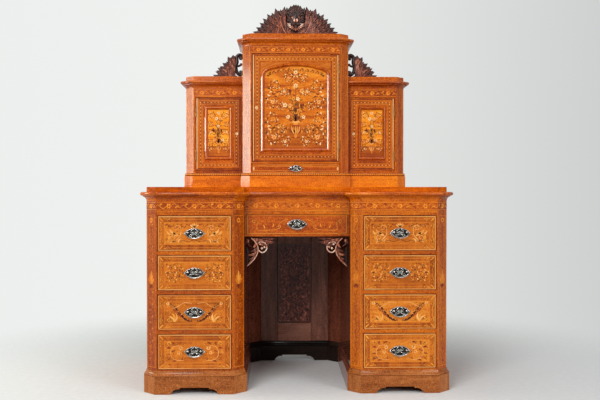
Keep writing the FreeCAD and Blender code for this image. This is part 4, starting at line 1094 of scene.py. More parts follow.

# %% [markdown]
# ## Outer sides and the kneehole panel
# The photograph does not show the outer sides, so only a plain crossbanded frame between two strings
# is laid there, in keeping with the front. It is the same ring as on the drawers. A dark ring of
# painted shadow lies in the recess of the kneehole's back panel and draws the shadow line round it.

# %% Strings on the sides
SIDE_STRING = 1.4
SIDE_BAND = 16
plain_sides = {"pedestal": (HALF_BODY, 0.030, 0.400, 248, 252),
               "cabinet": (HALF_CABINETS, 0.228, 1.018, 80, 160)}
for part, (x, y, z, half_width, half_height) in plain_sides.items():
    for hand, side in hands.items():
        name = f"{hand}_{part}_side"
        art = new_art(name)
        box = (-half_width, -half_height, half_width, half_height)
        ring(art, "gold", box, SIDE_STRING)
        ring(art, "band", inside(box, SIDE_STRING), SIDE_BAND, cross=True)
        ring(art, "gold", inside(box, SIDE_STRING + SIDE_BAND), SIDE_STRING)
        lay(art, name + "_strings", "desk", (side * x, y, z), (side, 0, 0))

# %% Painted shadow line round the kneehole panel
half_width, half_height, middle = front_of("kneehole_back_panel")
art = new_art("kneehole_slip")
# This dark ring is painted shadow, the shadow line round the recessed panel.
ring(art, "dark", inside((-half_width, -half_height, half_width, half_height), 0.5), 6)
lay(art, "kneehole_panel_slip", "desk", middle, slot="dark_wood")

# %% [markdown]
# ## Cabinet doors
# Each door has a string near its edge, a painted highlight of pale wood along the outer stiles,
# and a dashed band inside it. The corners above the arch of the middle door are filled with redder
# wood. The moulding round the panel could be the CAD ring with eased edges, but its two sloping
# flanks catch the light better when the section is swept again with wider slopes: each corner of the
# section is a loop round the panel, and the loops are bridged.


# %% Door frames
def dashed_ring(art, box, inset, pitch):
    """Dark and pale dashes in turn, along a rectangle inside a box."""
    left, bottom, right, top = inside(box, inset)
    dash = pitch * 0.36
    for level in (bottom, top):
        count = round((right - left) / pitch)
        for i in range(count + 1):
            x = left + (right - left) * i / count
            leaf(art, "dark" if i % 2 else "pale", (x - dash, level), (x + dash, level), 3.4)
    for x in (left, right):
        count = round((top - bottom) / pitch)
        for i in range(1, count):
            y = bottom + (top - bottom) * i / count
            leaf(art, "dark" if i % 2 else "pale", (x, y - dash), (x, y + dash), 3.4)


def door_border(art, half_width, half_height, stile, painted_highlight_stiles):
    """An edge string, a painted highlight of pale wood on the outer stiles, and a dashed band between thin
    strings.
    """
    box = (-half_width, -half_height, half_width, half_height)
    ring(art, "red", inside(box, 2.6), 2.4)
    # The cream strip on an outer stile is a painted highlight of the door's rounded edge.
    for side in painted_highlight_stiles:
        x = side * (half_width - 4)
        strip(art, "cream", (x - 1.4, -half_height + 3, x + 1.4, half_height - 3))
    ring(art, "dark", inside(box, 5.0), 1.2)
    thin = 0.9
    ring(art, "gold", inside(box, stile * 0.30), thin)
    ring(art, "band", inside(box, stile * 0.30 + thin), stile * 0.46 - thin)
    ring(art, "gold", inside(box, stile * 0.76), thin)
    dashed_ring(art, box, stile * 0.55, 7.5)


def arch_points(half, spring, shoulder, crown, steps=10):
    """The right half of an arched opening's edge: a small shoulder arc, then a wide arc to the crown."""
    reach, rise = half - shoulder, crown - spring
    wide = (reach ** 2 + rise ** 2 - shoulder ** 2) / (2 * (rise - shoulder))
    wide_centre = crown - wide
    turn = math.atan2(spring - wide_centre, reach)
    points = [away((reach, spring), turn * i / steps, shoulder) for i in range(steps + 1)]
    for i in range(1, steps + 1):
        points.append(away((0, wide_centre), turn + (math.pi / 2 - turn) * i / steps, wide))
    return points


def spandrel(art, side, arch, corner):
    """The redder corner between the arch and the top rail."""
    outline = arch + [corner]
    verts = disc(art, "band", len(outline))
    for vert, (x, y) in zip(verts, outline):
        vert.co = (side * x, y, cutting_height["red"])
    run_grain(art, verts, (1, 0.4))


print("door borders ready")

# %% Panel mouldings
moulding_section = ((0, 4.0), (0, -0.3), (0.5, -0.9), (5.6, -6.0), (6.6, -6.8), (7.4, -7.0), (8.2, -6.7),
                    (9.0, -6.0), (13.7, -1.2), (14, -0.6), (14, 4.0))


def moulding_loop(half, low, high, inset, spring=None, shoulder=0.0):
    """The outline of a panel drawn in by an inset, with an arched head if it has a spring line."""
    right = [(half - inset, low + inset)]
    if spring is None:
        right.append((half - inset, high - inset))
    else:
        right += arch_points(half - inset, spring, shoulder - inset, high - inset)
    return right + [(-x, y) for x, y in reversed(right) if x > 0.001]


def panel_moulding(front, outline):
    """A moulding with two sloping flanks, bridged from loops of the same outline."""
    bm = carry_grain(bmesh.new())
    loops = []
    for inset, out in moulding_section:
        spots = moulding_loop(inset=inset, **outline)
        verts = bmesh.ops.create_circle(bm, segments=len(spots), radius=1)["verts"]
        for vert, (x, z) in zip(verts, spots):
            vert.co = (x, front / MM + out, z)
        loops.append([bm.edges.get(pair) for pair in zip(verts, verts[1:] + verts[:1])])
    for first, second in zip(loops, loops[1:] + loops[:1]):
        bmesh.ops.bridge_loops(bm, edges=first + second)
    bmesh.ops.recalc_face_normals(bm, faces=bm.faces[:])
    return bm


print("the moulding's section has", len(moulding_section), "corners")

# %% Lay the door frames
STILE = 35
SPANDREL_LAP = 1.0
side_outline = {"half": 59.5, "low": 893, "high": 1122}
arch_outline = {"half": 144.5, "low": 926, "high": 1296, "spring": 1238, "shoulder": 40}
doors = {"left_door": (SIDE_FRONT, side_outline, (-1,)),
         "centre_door": (CENTRE_FRONT, arch_outline, (-1, 1)),
         "right_door": (SIDE_FRONT, side_outline, (1,))}
for name, (front, outline, painted_highlight_stiles) in doors.items():
    half_width, half_height, (x, _, z) = front_of(name + "_frame")
    art = new_art(name)
    door_border(art, half_width, half_height, STILE, painted_highlight_stiles)
    if name == "centre_door":
        level = z / MM
        half, crown = outline["half"] + SPANDREL_LAP, outline["high"] + SPANDREL_LAP - level
        arch = arch_points(half, outline["spring"] - level, outline["shoulder"] + SPANDREL_LAP / 2, crown)
        for side in (-1, 1):
            spandrel(art, side, arch, (half, crown))
    moulding = panel_moulding(front, outline)
    in_metres = Matrix.Scale(MM, 4) @ Matrix.Translation((x / MM, 0, 0))
    bmesh.ops.transform(moulding, matrix=in_metres, verts=moulding.verts[:])
    write_grain(moulding, [moulding.verts[:]], random.Random(name))
    finish_piece(moulding, name + "_moulding", name, [moulding_veneer], "veneer")
    lay(art, name + "_border", name, (x, front, z))

# %% [markdown]
# ## Door panels
# The panels show vases of flowers on a golden ground with a redder foot. They are drawn for this
# desk with the same few shapes as the drawers: a vase of leaves and ovals, a bouquet that fans from
# its mouth, and leafy scrolls that wind in to a flower. The wide panel gets more scrolls, not larger
# ones, so the cuttings keep one scale across the three doors.


# %% Panel ornament
def flower_vase(art, foot, wide, tall):
    """A fluted vase with two scrolled handles, standing on the line at foot."""
    def up(share):
        return foot + tall * share

    dot(art, "red", (0, up(0.03)), wide * 0.42, 0.16)
    leaf(art, "gold", (0, foot), (0, up(0.34)), wide * 0.30)
    dot(art, "red", (0, up(0.52)), wide * 0.5, 0.62 * tall / wide)
    for i in range(-2, 3):
        leaf(art, "gold" if i % 2 else "pale", (i * wide * 0.05, up(0.24)), (i * wide * 0.17, up(0.74)),
             wide * 0.13, -0.06 * i)
    strip(art, "gold", (-wide * 0.2, up(0.78), wide * 0.2, up(0.92)))
    dot(art, "pale", (0, up(0.96)), wide * 0.34, 0.2)
    for side in (-1, 1):
        stem(art, "gold", [(wide * 0.2, up(0.88), 1.2), (wide * 0.62, up(1.0), 1.4),
                           (wide * 0.66, up(0.66), 1.3), (wide * 0.46, up(0.52), 1.0)], side)


def bouquet(art, mouth, spread, rise, count, size):
    """Stems that fan from the vase's mouth, with leaves along them and a flower on each."""
    blooms = ("cream", "gold", "red", "pale", "cream")
    leaf_woods = ("olive", "red", "gold")
    for i in range(count):
        angle = math.radians(12 + 156 * i / (count - 1))
        reach = 1.0 if i % 2 else 0.66
        x, y = spread * reach * math.cos(angle), rise * reach * math.sin(angle)
        tip = (x, mouth + y)
        stem(art, "dark", [(0, mouth, 1.0), (x * 0.35, mouth + y * 0.55, 0.9),
                           (x * 0.82, mouth + y * 0.9, 0.8), (*tip, 0.6)])
        for along in (0.30, 0.48, 0.66, 0.84):
            root = (x * along * 0.9, mouth + y * (along * 1.08))
            for side in (-1, 1):
                wood_name = leaf_woods[(i + side + round(along * 10)) % 3]
                leaf_tip = away(root, angle + side * 0.9, size * 1.6)
                leaf(art, wood_name, root, leaf_tip, size * 0.6, 0.15 * side)
        bloom = blooms[i % 5]
        eye = "dark" if bloom == "red" else "red"
        flower(art, bloom, eye, tip, size * (1.2 if i % 2 else 1.0), 5 + i % 3, angle)


def scroll_vine(art, side, centre, start, turns, outer, leaves, bloom):
    """A leafy stem that winds in to a flower."""
    stem(art, "red", spiral(centre, start, turns, outer, outer * 0.25, 1.3, 0.6), side)
    sense = math.copysign(1, turns)
    for i in range(leaves):
        share = (i + 0.5) / leaves
        angle = math.radians(start) + 2 * math.pi * turns * share
        radius = outer * (1 - 0.75 * share)
        root = away(centre, angle, radius)
        for out in (1, -1):
            length = (0.42 if out > 0 else 0.30) * radius + 3
            tip = away(root, angle + sense * (math.pi / 2 - out * 0.75), length)
            wood_name = ("dark", "gold", "red", "cream")[(i + (out > 0)) % 4]
            side_leaf(art, wood_name, side, root, tip, length * 0.42, 0.16 * out * sense)
    flower(art, bloom, "red", (side * centre[0], centre[1]), outer * 0.30, 6, start)


def table_foot(art, half_width, bottom, top, pitch):
    """The redder ground under the vase, with a scalloped edge and hanging leaves."""
    strip(art, "band", (-half_width, bottom, half_width, top))
    strip(art, "red", (-half_width, bottom, half_width, bottom + 5))
    strip(art, "gold", (-half_width, top, half_width, top + 1.2))
    count = round(2 * half_width / pitch)
    step = 2 * half_width / count
    for i in range(count):
        x = step * (i + 0.5) - half_width
        leaf(art, "red", (x - step / 2, top - 1), (x + step / 2, top - 1), step * 0.7)
        wood_name = "gold" if i % 2 else "olive"
        leaf(art, wood_name, (x, top - step * 0.4), (x, top - step * 1.4), step * 0.45, 0.1)


print("panel helpers ready")

# %% Lay the door panels
PANEL_RECESS = 0.004
centre_scrolls = (((90, -124), 150, -1.3, 38, "pale"), ((94, -48), 210, 1.3, 34, "gold"),
                  ((96, 22), 150, -1.3, 31, "pale"), ((84, 88), 220, 1.3, 30, "gold"),
                  ((44, -142), 40, 1.2, 23, "cream"), ((30, 122), 250, -1.2, 24, "pale"),
                  ((48, 66), 120, 1.2, 19, "cream"), ((62, 2), 200, -1.2, 18, "red"),
                  ((56, -84), 160, 1.2, 19, "gold"))
side_scrolls = (((31, -66), 150, -1.2, 15, "pale"), ((32, -34), 210, 1.2, 14, "gold"),
                ((33, 4), 150, -1.2, 13, "cream"), ((32, 40), 210, 1.2, 13, "gold"),
                ((28, 74), 200, -1.2, 16, "pale"))


def centre_panel(art):
    """A vase with a bouquet, under an arch of leaves."""
    table_foot(art, half_width=130, bottom=-171, top=-86, pitch=16)
    flower_vase(art, foot=-128, wide=46, tall=70)
    bouquet(art, mouth=-60, spread=50, rise=150, count=11, size=9)
    arch = arch_points(half=121, spring=127, shoulder=18, crown=160)
    for i, (x, y) in enumerate(arch[4:]):
        for side in (-1, 1):
            side_leaf(art, "red" if i % 2 else "gold", side, (x, y), (x - 9, y + 5), 6, 0.2)
            side_leaf(art, "olive", side, (x, y), (x - 7, y - 8), 5, 0.2)
    flower(art, "cream", "red", (0, 146), 10, 7)


def side_panel(art):
    """The same vase and bouquet, slimmer."""
    table_foot(art, half_width=45, bottom=-101, top=-56, pitch=9)
    flower_vase(art, foot=-86, wide=26, tall=44)
    bouquet(art, mouth=-44, spread=26, rise=112, count=9, size=7)
    flower(art, "cream", "red", (0, 86), 7, 7)


for name in door_names:
    low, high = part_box(name + "_panel")
    frame_low, frame_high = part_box(name + "_frame")
    front, _, _ = doors[name]
    middle = ((frame_low.x + frame_high.x) / 2, front + PANEL_RECESS, (low.z + high.z) / 2)
    art = new_art(name + "_panel")
    wide = name == "centre_door"
    draw, scrolls, leaves = (centre_panel, centre_scrolls, 15) if wide else (side_panel, side_scrolls, 9)
    draw(art)
    for spot, start, turns, outer, bloom in scrolls:
        for side in (-1, 1):
            scroll_vine(art, side, spot, start, turns, outer, leaves, bloom)
    lay(art, name + "_marquetry", name, middle)

# %% [markdown]
# ## Beads
# A row of small turned beads stands on the moulding under the cabinet drawer, and runs round the
# canted corners. Each bead is a sphere of few faces that is sunk half into the wood, because more
# than a hundred of them share one mesh.

# %% Bead rows
BEAD_RADIUS = 0.0036
BEAD_PITCH = 0.009
BEAD_OUT = 0.0055
BEAD_MITRE = BEAD_OUT * 0.41
BEAD_TONE = 0.14
SIDE_ROW_START = 0.232


def smooth_round(verts):
    """Shades the faces at these corners as one rounded skin."""
    for face in {f for v in verts for f in v.link_faces}:
        face.smooth = True


def bead_row(bm, start, end):
    """Beads from one corner to the next."""
    grain = bm.verts.layers.float_vector["grain"]
    tone = bm.verts.layers.float["tone"]
    run = Vector(end) - Vector(start)
    count = max(1, round(run.length / BEAD_PITCH))
    for i in range(count):
        spot = Vector(start) + run * (i + 0.5) / count
        made = bmesh.ops.create_uvsphere(bm, u_segments=8, v_segments=5, radius=BEAD_RADIUS,
                                         matrix=Matrix.Translation(spot))["verts"]
        for vert in made:
            vert[grain] = vert.co + Vector((i * 0.37, 0, 0))
            vert[tone] = BEAD_TONE
        smooth_round(made)


beads = carry_grain(bmesh.new())
for side in (-1, 1):
    for place, inner in (("centre", 0.0), ("side", SIDE_ROW_START)):
        corner, front, cant, _ = cabinet_corners[place]
        start = (side * inner, front - BEAD_OUT, BEAD_LEVEL)
        bend = (side * (corner - cant + BEAD_MITRE), front - BEAD_OUT, BEAD_LEVEL)
        end = (side * (corner + BEAD_OUT), front + cant - BEAD_MITRE, BEAD_LEVEL)
        bead_row(beads, start, bend)
        bead_row(beads, bend, end)
finish_piece(beads, "cabinet_beads", "desk", [bright_veneer], "veneer")

# %% [markdown]
# ## Pulls
# A pull is a cast plate with two turned posts and a bail that swings from them. The plate is a
# pointed oval with a lobed rim and a fluted dish; it is extruded ring by ring from the rim to the
# middle, so that its height can follow a list. Small scrolls lie on the dish. The bail is a round bar
# swept along the same bow as in the CAD, and swells towards the middle of the grip. Wear is written
# in the attribute "tone": the hollows keep their dark patina, and the edges are rubbed bright.


# %% Metals
def metal(name, dark, bright, rough):
    """A worn metal, darker where the tone is low and brighter where it is high."""
    material, tree = new_material(name)
    tone = add(tree, "Attribute", attribute_name="tone").outputs["Fac"]
    stains = noise(tree, add(tree, "TexCoord").outputs["Object"], 170, detail=4)
    wear_and_highlight = math_node(tree, "ADD", stains, tone)
    colour = ramp(tree, wear_and_highlight, [(0.30, dark), (0.90, bright)])
    rubbed = add(tree, "MapRange", {"Value": wear_and_highlight, "To Min": rough + 0.16, "To Max": rough})
    shader = add(tree, "BsdfPrincipled", {"Base Color": colour, "Metallic": 1.0,
                                          "Roughness": rubbed.outputs["Result"]})
    add(tree, "OutputMaterial", {"Surface": shader.outputs["BSDF"]})
    return material


pewter = metal("worn_pewter", (36, 33, 30), (198, 196, 190), 0.16)
brass = metal("aged_brass", (96, 54, 20), (190, 134, 66), 0.28)
bright_brass = metal("rubbed_brass", (196, 160, 104), (240, 218, 176), 0.24)
print("metals:", pewter.name, brass.name, bright_brass.name)


# %% Solid helpers
def new_block():
    """An empty mesh that carries a tone."""
    bm = bmesh.new()
    bm.verts.layers.float.new("tone")
    return bm


def grow(bm, rings, tones):
    """A solid that is extruded from one ring of spots to the next, with a tone at each spot."""
    tone = bm.verts.layers.float["tone"]
    verts = bmesh.ops.create_circle(bm, cap_ends=True, segments=len(rings[0]), radius=1)["verts"]
    first = last = verts[0].link_faces[0]
    made = []
    for spots, wears in zip(rings, tones):
        if made:
            fresh = bmesh.ops.extrude_face_region(bm, geom=[last, *last.edges])["geom"]
            last = next(part for part in fresh if isinstance(part, bmesh.types.BMFace))
        for vert, spot, wear_and_highlight in zip(last.verts, spots, wears):
            vert.co = spot
            vert[tone] = wear_and_highlight
        made += last.verts
    smooth_round(made)
    return first


def sweep(bm, points, radii, tones, sides=10):
    """A round bar through points in a plane that faces the front, with a radius and a tone at each."""
    back = Vector((0, 1, 0))
    turns = [2 * math.pi * j / sides for j in range(sides)]
    rings = []
    for i, point in enumerate(points):
        run = (points[min(i + 1, len(points) - 1)] - points[max(i - 1, 0)]).normalized()
        out = run.cross(back).normalized()
        rings.append([point + (out * math.cos(turn) + back * math.sin(turn)) * radii[i] for turn in turns])
    grow(bm, rings, [[wear_and_highlight] * sides for wear_and_highlight in tones])


def turned(bm, profile, foot, steps=16):
    """A turned knob: a profile of (radius, height) spun about an axis that points to the front."""
    tone = bm.verts.layers.float["tone"]
    known = set(bm.verts)
    verts = [bm.verts.new((radius, 0, height)) for radius, height in profile]
    edges = [bm.edges.new(pair) for pair in zip(verts, verts[1:])]
    bmesh.ops.spin(bm, geom=verts + edges, axis=(0, 0, 1), cent=(0, 0, 0), angle=2 * math.pi, steps=steps,
                   use_merge=True)
    bmesh.ops.remove_doubles(bm, verts=[v for v in bm.verts if v not in known], dist=1e-5)
    made = [v for v in bm.verts if v not in known]
    for vert in made:
        vert[tone] = 0.30 if vert.co.z > profile[-1][1] * 0.55 else -0.20
        vert.co = (foot[0] + vert.co.x, foot[1] - vert.co.z, foot[2] + vert.co.y)
    smooth_round(made)


def place_in_metres(bm, centre=(0, 0, 0)):
    """Moves a shape drawn in millimetres to its place in the frame."""
    bmesh.ops.recalc_face_normals(bm, faces=bm.faces[:])
    bmesh.ops.transform(bm, matrix=Matrix.Translation(centre) @ Matrix.Scale(MM, 4), verts=bm.verts[:])


print("solid helpers ready")

# %% Pull plate
POST_SPREAD = 0.29
POST_LIFT = 0.10
POST_RADIUS = 4.2
PATTERN_WIDTH = 82
PATTERN_HEIGHT = 40
RIM_LOBES = 9
FLUTES = 15
CURL_HEIGHT = 2.0
CURL_RADIUS = 1.5
CURL_TAPER = 0.12
dish = ((1.00, 0.0, -0.30), (1.00, 1.0, -0.10), (0.965, 1.8, 0.22), (0.92, 2.1, 0.28), (0.86, 1.5, -0.15),
        (0.80, 1.0, -0.42), (0.62, 1.0, -0.45), (0.44, 1.4, -0.35), (0.26, 2.0, -0.10), (0.10, 2.4, 0.10))
upper_curl = ((2, 17), (9, 13), (13.5, 6), (9, 0.5), (4, 3), (6.5, 6.5))
lower_curl = ((3, -4), (9, -7), (16, -4.5), (20, -8.5), (14.5, -12.5), (9, -11))
end_leaf = ((29, -4), (34, -1.5), (39, 0))
knob = ((POST_RADIUS, 0.5), (POST_RADIUS, 2.5), (2.6, 4.0), (2.4, 7.0), (3.4, 8.6), (4.1, 10.6), (4.2, 13.0),
        (3.6, 15.4), (2.2, 16.8), (0.0, 17.2))


def oval_reach(angle, half_width, half_height):
    """How far a pointed oval of two arcs reaches in a direction."""
    radius = (half_width ** 2 + half_height ** 2) / (2 * half_height)
    rise = abs(math.sin(angle)) * (radius - half_height)
    return math.sqrt(rise ** 2 + 2 * radius * half_height - half_height ** 2) - rise


def pull_plate(bm, width, height, steps=90):
    """The fluted dish with its lobed rim and scrolls, in millimetres about its middle, facing -Y."""
    rings, tones = [], []
    for share, rise, wear_and_highlight in dish:
        spots, wears = [], []
        for i in range(steps):
            angle = 2 * math.pi * i / steps
            lobe = 0.06 * math.sin(angle * RIM_LOBES) ** 2 if share > 0.9 else 0.0
            flute = 0.6 * math.cos(angle * FLUTES) if 0.4 < share < 0.85 else 0.0
            x, z = away((0, 0), angle, (share - lobe) * oval_reach(angle, width / 2, height / 2))
            spots.append((x, -rise - flute, z))
            wears.append(wear_and_highlight + 0.5 * flute)
        rings.append(spots)
        tones.append(wears)
    back = grow(bm, rings, tones)
    back.smooth = False
    wider, taller = width / PATTERN_WIDTH, height / PATTERN_HEIGHT
    for side in (-1, 1):
        for line, wear_and_highlight in ((upper_curl, 0.45), (lower_curl, 0.35), (end_leaf, 0.30)):
            path = [Vector((side * x * wider, -CURL_HEIGHT, z * taller)) for x, z in line]
            radii = [CURL_RADIUS - CURL_TAPER * i for i in range(len(line))]
            sweep(bm, path, radii, [wear_and_highlight] * len(line), sides=6)


for name in drawer_names:
    low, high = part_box(name + "_pull_plate")
    width, height = (high.x - low.x) / MM, (high.z - low.z) / MM
    bm = new_block()
    pull_plate(bm, width, height)
    for side in (-1, 1):
        turned(bm, knob, (side * width * POST_SPREAD, 0, height * POST_LIFT))
    place_in_metres(bm, ((low.x + high.x) / 2, high.y, (low.z + high.z) / 2))
    finish_piece(bm, name + "_pull_plate_finished", name, [pewter], "pewter", name + "_pull_plate")

# %% Bails
BAIL_RADIUS = 2.2
BAIL_ELBOW = 3.3
DULL_RADIUS = 1.75


def bail_bow(post, arm, drop):
    """Points and radii of half a bail, from its post to the last point before the middle of the grip."""
    points = [Vector((post, 0, 0)), Vector((arm - BAIL_ELBOW, 0, 0)), Vector((arm - 1.0, 0, -1.0))]
    radii = [1.9, 1.9, 1.8]
    for turn in range(0, 90, 9):
        angle = math.radians(turn)
        fall = BAIL_ELBOW + (drop - BAIL_ELBOW) * math.sin(angle)
        points.append(Vector((arm * math.cos(angle), 0, -fall)))
        radii.append(1.6 + 0.5 * turn / 90)
    return points, radii


for name in drawer_names:
    low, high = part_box(name + "_bail")
    plate_low, plate_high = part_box(name + "_pull_plate")
    post = (plate_high.x - plate_low.x) / MM * POST_SPREAD - POST_RADIUS
    arm = (high.x - low.x) / MM / 2 - BAIL_RADIUS
    drop = (high.z - low.z) / MM - 2 * BAIL_RADIUS
    half, radii = bail_bow(post, arm, drop)
    path = half + [Vector((0, 0, -drop))] + [Vector((-p.x, 0, p.z)) for p in reversed(half)]
    radii = radii + [BAIL_RADIUS] + radii[::-1]
    bm = new_block()
    sweep(bm, path, radii, [radius - DULL_RADIUS for radius in radii])
    place_in_metres(bm, ((low.x + high.x) / 2, (low.y + high.y) / 2, high.z - BAIL_RADIUS * MM))
    finish_piece(bm, name + "_bail_finished", name + "_bail", [pewter], "pewter", name + "_bail")

# %% [markdown]
# ## Door fittings
# A hinge, a keyhole ring and a lock bolt are small and plain, so the CAD shapes serve with eased
# edges. Fingers and keys polish the ring, while the hinges stay dull, so one node takes two metals.

# %% Hinges, keyholes and lock bolts
KEYHOLE_REACH = 0.1


def fitting_metal(hinge_x):
    """Chooses the bright metal for what lies away from the hinge: the ring round the keyhole."""
    return lambda face: 1 if abs(face.calc_center_median().x - hinge_x) > KEYHOLE_REACH else 0


for name in door_names:
    low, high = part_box(name + "_fittings")
    hinge_x = low.x if name == "left_door" else high.x
    dress(name + "_fittings", "brass", [brass, bright_brass], 0.0002, fitting_metal(hinge_x))
    dress(name + "_lock_bolt", "brass", [brass], 0.0003)
dress("door_hinge_leaves", "brass", [brass], 0.0002)

# %% [markdown]
# ## Carved wood
# The crests and brackets are carved from a darker red wood. A carver works from a flat sawn blank,
# so every leaf here has a flat back and a modelled front: a sawtooth edge, a groove down the middle
# and a lift towards the tip. A leaf is a small grid that is shaped point by point and extruded to
# its back, which keeps its edge crisp; sculpting would need far more faces. The scrolls are bars swept
# along curves. The attribute "tone" paints the carving: high places are painted pale, as painted
# highlight and rubbing, and hollows are painted dark, as painted shade.

# %% Carved wood recipe
carved, tree = new_material("carved_dark_wood")
tone = add(tree, "Attribute", attribute_name="tone").outputs["Fac"]
place = add(tree, "TexCoord").outputs["Object"]
figure = noise(tree, stretched(tree, place, (1.0, 1.0, 0.3)), 190, detail=4)
# The tone carries the painted highlights and painted shade of the carving, and the noise the wood's own
# figure; the palest stop is a painted highlight.
rubbed = math_node(tree, "ADD", tone, math_node(tree, "MULTIPLY_ADD", figure, 1.1, -0.62))
colour = ramp(tree, rubbed, [(0.05, (22, 8, 5)), (0.42, (92, 36, 20)), (0.82, (208, 128, 92)),
                             (1.0, (228, 202, 182))])
shader = add(tree, "BsdfPrincipled", {"Base Color": colour, "Roughness": 0.30, "Specular IOR Level": 0.32})
add(tree, "OutputMaterial", {"Surface": shader.outputs["BSDF"]})
print("carved wood:", carved.name)

# %% Carving helpers
ROWS_PER_TOOTH = 3
LEAF_COLUMNS = 6
# The flat backs of the carving are painted lighter: painted light where no lamp reaches them from behind.
BACK_PAINTED_LIGHT = 0.55


def carved_leaf(bm, root, tip, width, front, back, bend=0.0, lift=6.0, lobes=5, rub=0.0):
    """A leaf with a sawtooth edge in the XZ plane; the front faces -Y and the back is flat."""
    tone = bm.verts.layers.float["tone"]
    root, tip = Vector(root), Vector(tip)
    run = tip - root
    across = Vector((-run.y, run.x)).normalized()
    rows = ROWS_PER_TOOTH * lobes
    before = len(bm.faces)
    grid = bmesh.ops.create_grid(bm, x_segments=rows, y_segments=LEAF_COLUMNS, size=1)["verts"]
    for vert in grid:
        share = round((vert.co.x + 1) / 2 * rows) / rows
        u = 2 * round((vert.co.y + 1) / 2 * LEAF_COLUMNS) / LEAF_COLUMNS - 1
        swell = math.sin(math.pi * (0.10 + 0.90 * share)) ** 0.7
        tooth = 1.0 - 0.30 * ((share * lobes) % 1.0)
        half = max(width / 2 * swell * tooth, 0.05)
        axis = root + run * share + across * (bend * run.length * 4 * share * (1 - share))
        spot = axis + across * (half * u)
        ridge = 1.0 - 0.6 * u * u - (0.45 if u == 0 else 0.0)
        vert.co = (spot.x, front - lift * ridge * (0.35 + 0.65 * share), spot.y)
        # The ridge is painted pale as highlight and wear, the sawtooth edge darker as painted shade, and the
        # last argument lifts or lowers the painted light of the whole leaf.
        ridge_highlight_and_wear = 0.66 * ridge * (0.55 + 0.45 * math.sin(math.pi * share))
        vert[tone] = rub + ridge_highlight_and_wear - (0.12 if abs(u) == 1 else 0.0)
    bm.faces.ensure_lookup_table()
    made = bmesh.ops.extrude_face_region(bm, geom=bm.faces[before:])["geom"]
    backs = [part for part in made if isinstance(part, bmesh.types.BMVert)]
    for vert in backs:
        vert.co.y = back
        vert[tone] = BACK_PAINTED_LIGHT
    smooth_round(grid + backs)


# On the carving, the tone of a boss or a bar is its painted highlight and shade.
def carved_ball(bm, centre, size, wear_and_highlight, segments=14):
    """A rounded boss with its own half sizes along X, Y and Z."""
    tone = bm.verts.layers.float["tone"]
    made = bmesh.ops.create_uvsphere(bm, u_segments=segments, v_segments=segments // 2 + 2, radius=1)["verts"]
    for vert in made:
        vert.co = Vector(centre) + Vector([vert.co[i] * size[i] for i in range(3)])
        vert[tone] = wear_and_highlight
    smooth_round(made)


def carved_scroll(bm, points, depth, thick, thin, wear_and_highlight):
    """A bar that thins towards its end, through (x, z) points smoothed by halving the corners."""
    path = [Vector((x, depth, z)) for x, z in points]
    for _ in range(2):
        finer = [path[0]]
        for first, second in zip(path, path[1:]):
            finer += [first * 0.75 + second * 0.25, first * 0.25 + second * 0.75]
        path = finer + [path[-1]]
    last = len(path) - 1
    sweep(bm, path, [thick + (thin - thick) * i / last for i in range(last + 1)], [wear_and_highlight] * (last + 1))


print("carving helpers ready")

# %% [markdown]
# ## Centre crest
# Two fans of leaves rise towards an animal mask. A fan is four sprays with their tips given; each
# leaf is drawn three times, shorter and further forward, so the fan has layers, and shorter leaves
# close the notches between the tips. More leaves stand beside the mask and lie along the foot. The
# mask is built of rounded bosses that overlap, as a carver roughs out a head: skull, brows, cheeks,
# muzzle and nose. A Remesh modifier joins them into one skin, and the fur is cut into that skin by
# moving its points.

# %% Fans of the centre crest
CREST_BASE = 1417.0
CREST_BACK = 62.5
crest = new_block()


def crest_leaf(side, root, tip, width, front, bend, **shape):
    """A leaf on one side of the mask, sawn back to the plane of the crest."""
    carved_leaf(crest, (side * root[0], root[1]), (side * tip[0], tip[1]), width, front, CREST_BACK,
                bend=bend * side, **shape)


sprays = (((46, 10), 32, ((178, 11), (165, 29), (150, 48))), ((46, 20), 31, ((137, 66), (119, 85))),
          ((46, 34), 27, ((100, 90), (85, 109))), ((44, 52), 20, ((63, 105), (45, 117))))
fan = [(root, tip, width) for root, width, tips in sprays for tip in tips]
layers = ((1.0, 52.0, 4.0, -0.08), (0.76, 48.5, 6.0, 0.0), (0.52, 45.5, 7.0, 0.0))
for side in (-1, 1):
    for root, tip, width in fan:
        for share, front, lift, rub in layers:
            out, up = share * (tip[0] - root[0]), share * (tip[1] - root[1])
            turned_in = 0.05 * (1 - share) * (tip[0] - root[0])
            crest_leaf(side, root, (root[0] + out, root[1] + up - turned_in), width * (0.6 + 0.4 * share),
                       front, -0.07, lift=lift, rub=rub)
    for (root, tip, _), (next_root, next_tip, _) in zip(fan, fan[1:]):
        foot = [(a + b) / 2 for a, b in zip(root, next_root)]
        end = [f + 0.91 * ((a + b) / 2 - f) for f, a, b in zip(foot, tip, next_tip)]
        crest_leaf(side, foot, end, 26, 54.0, -0.05, lift=3.0, rub=-0.10)
print("fans:", len(crest.faces), "faces")

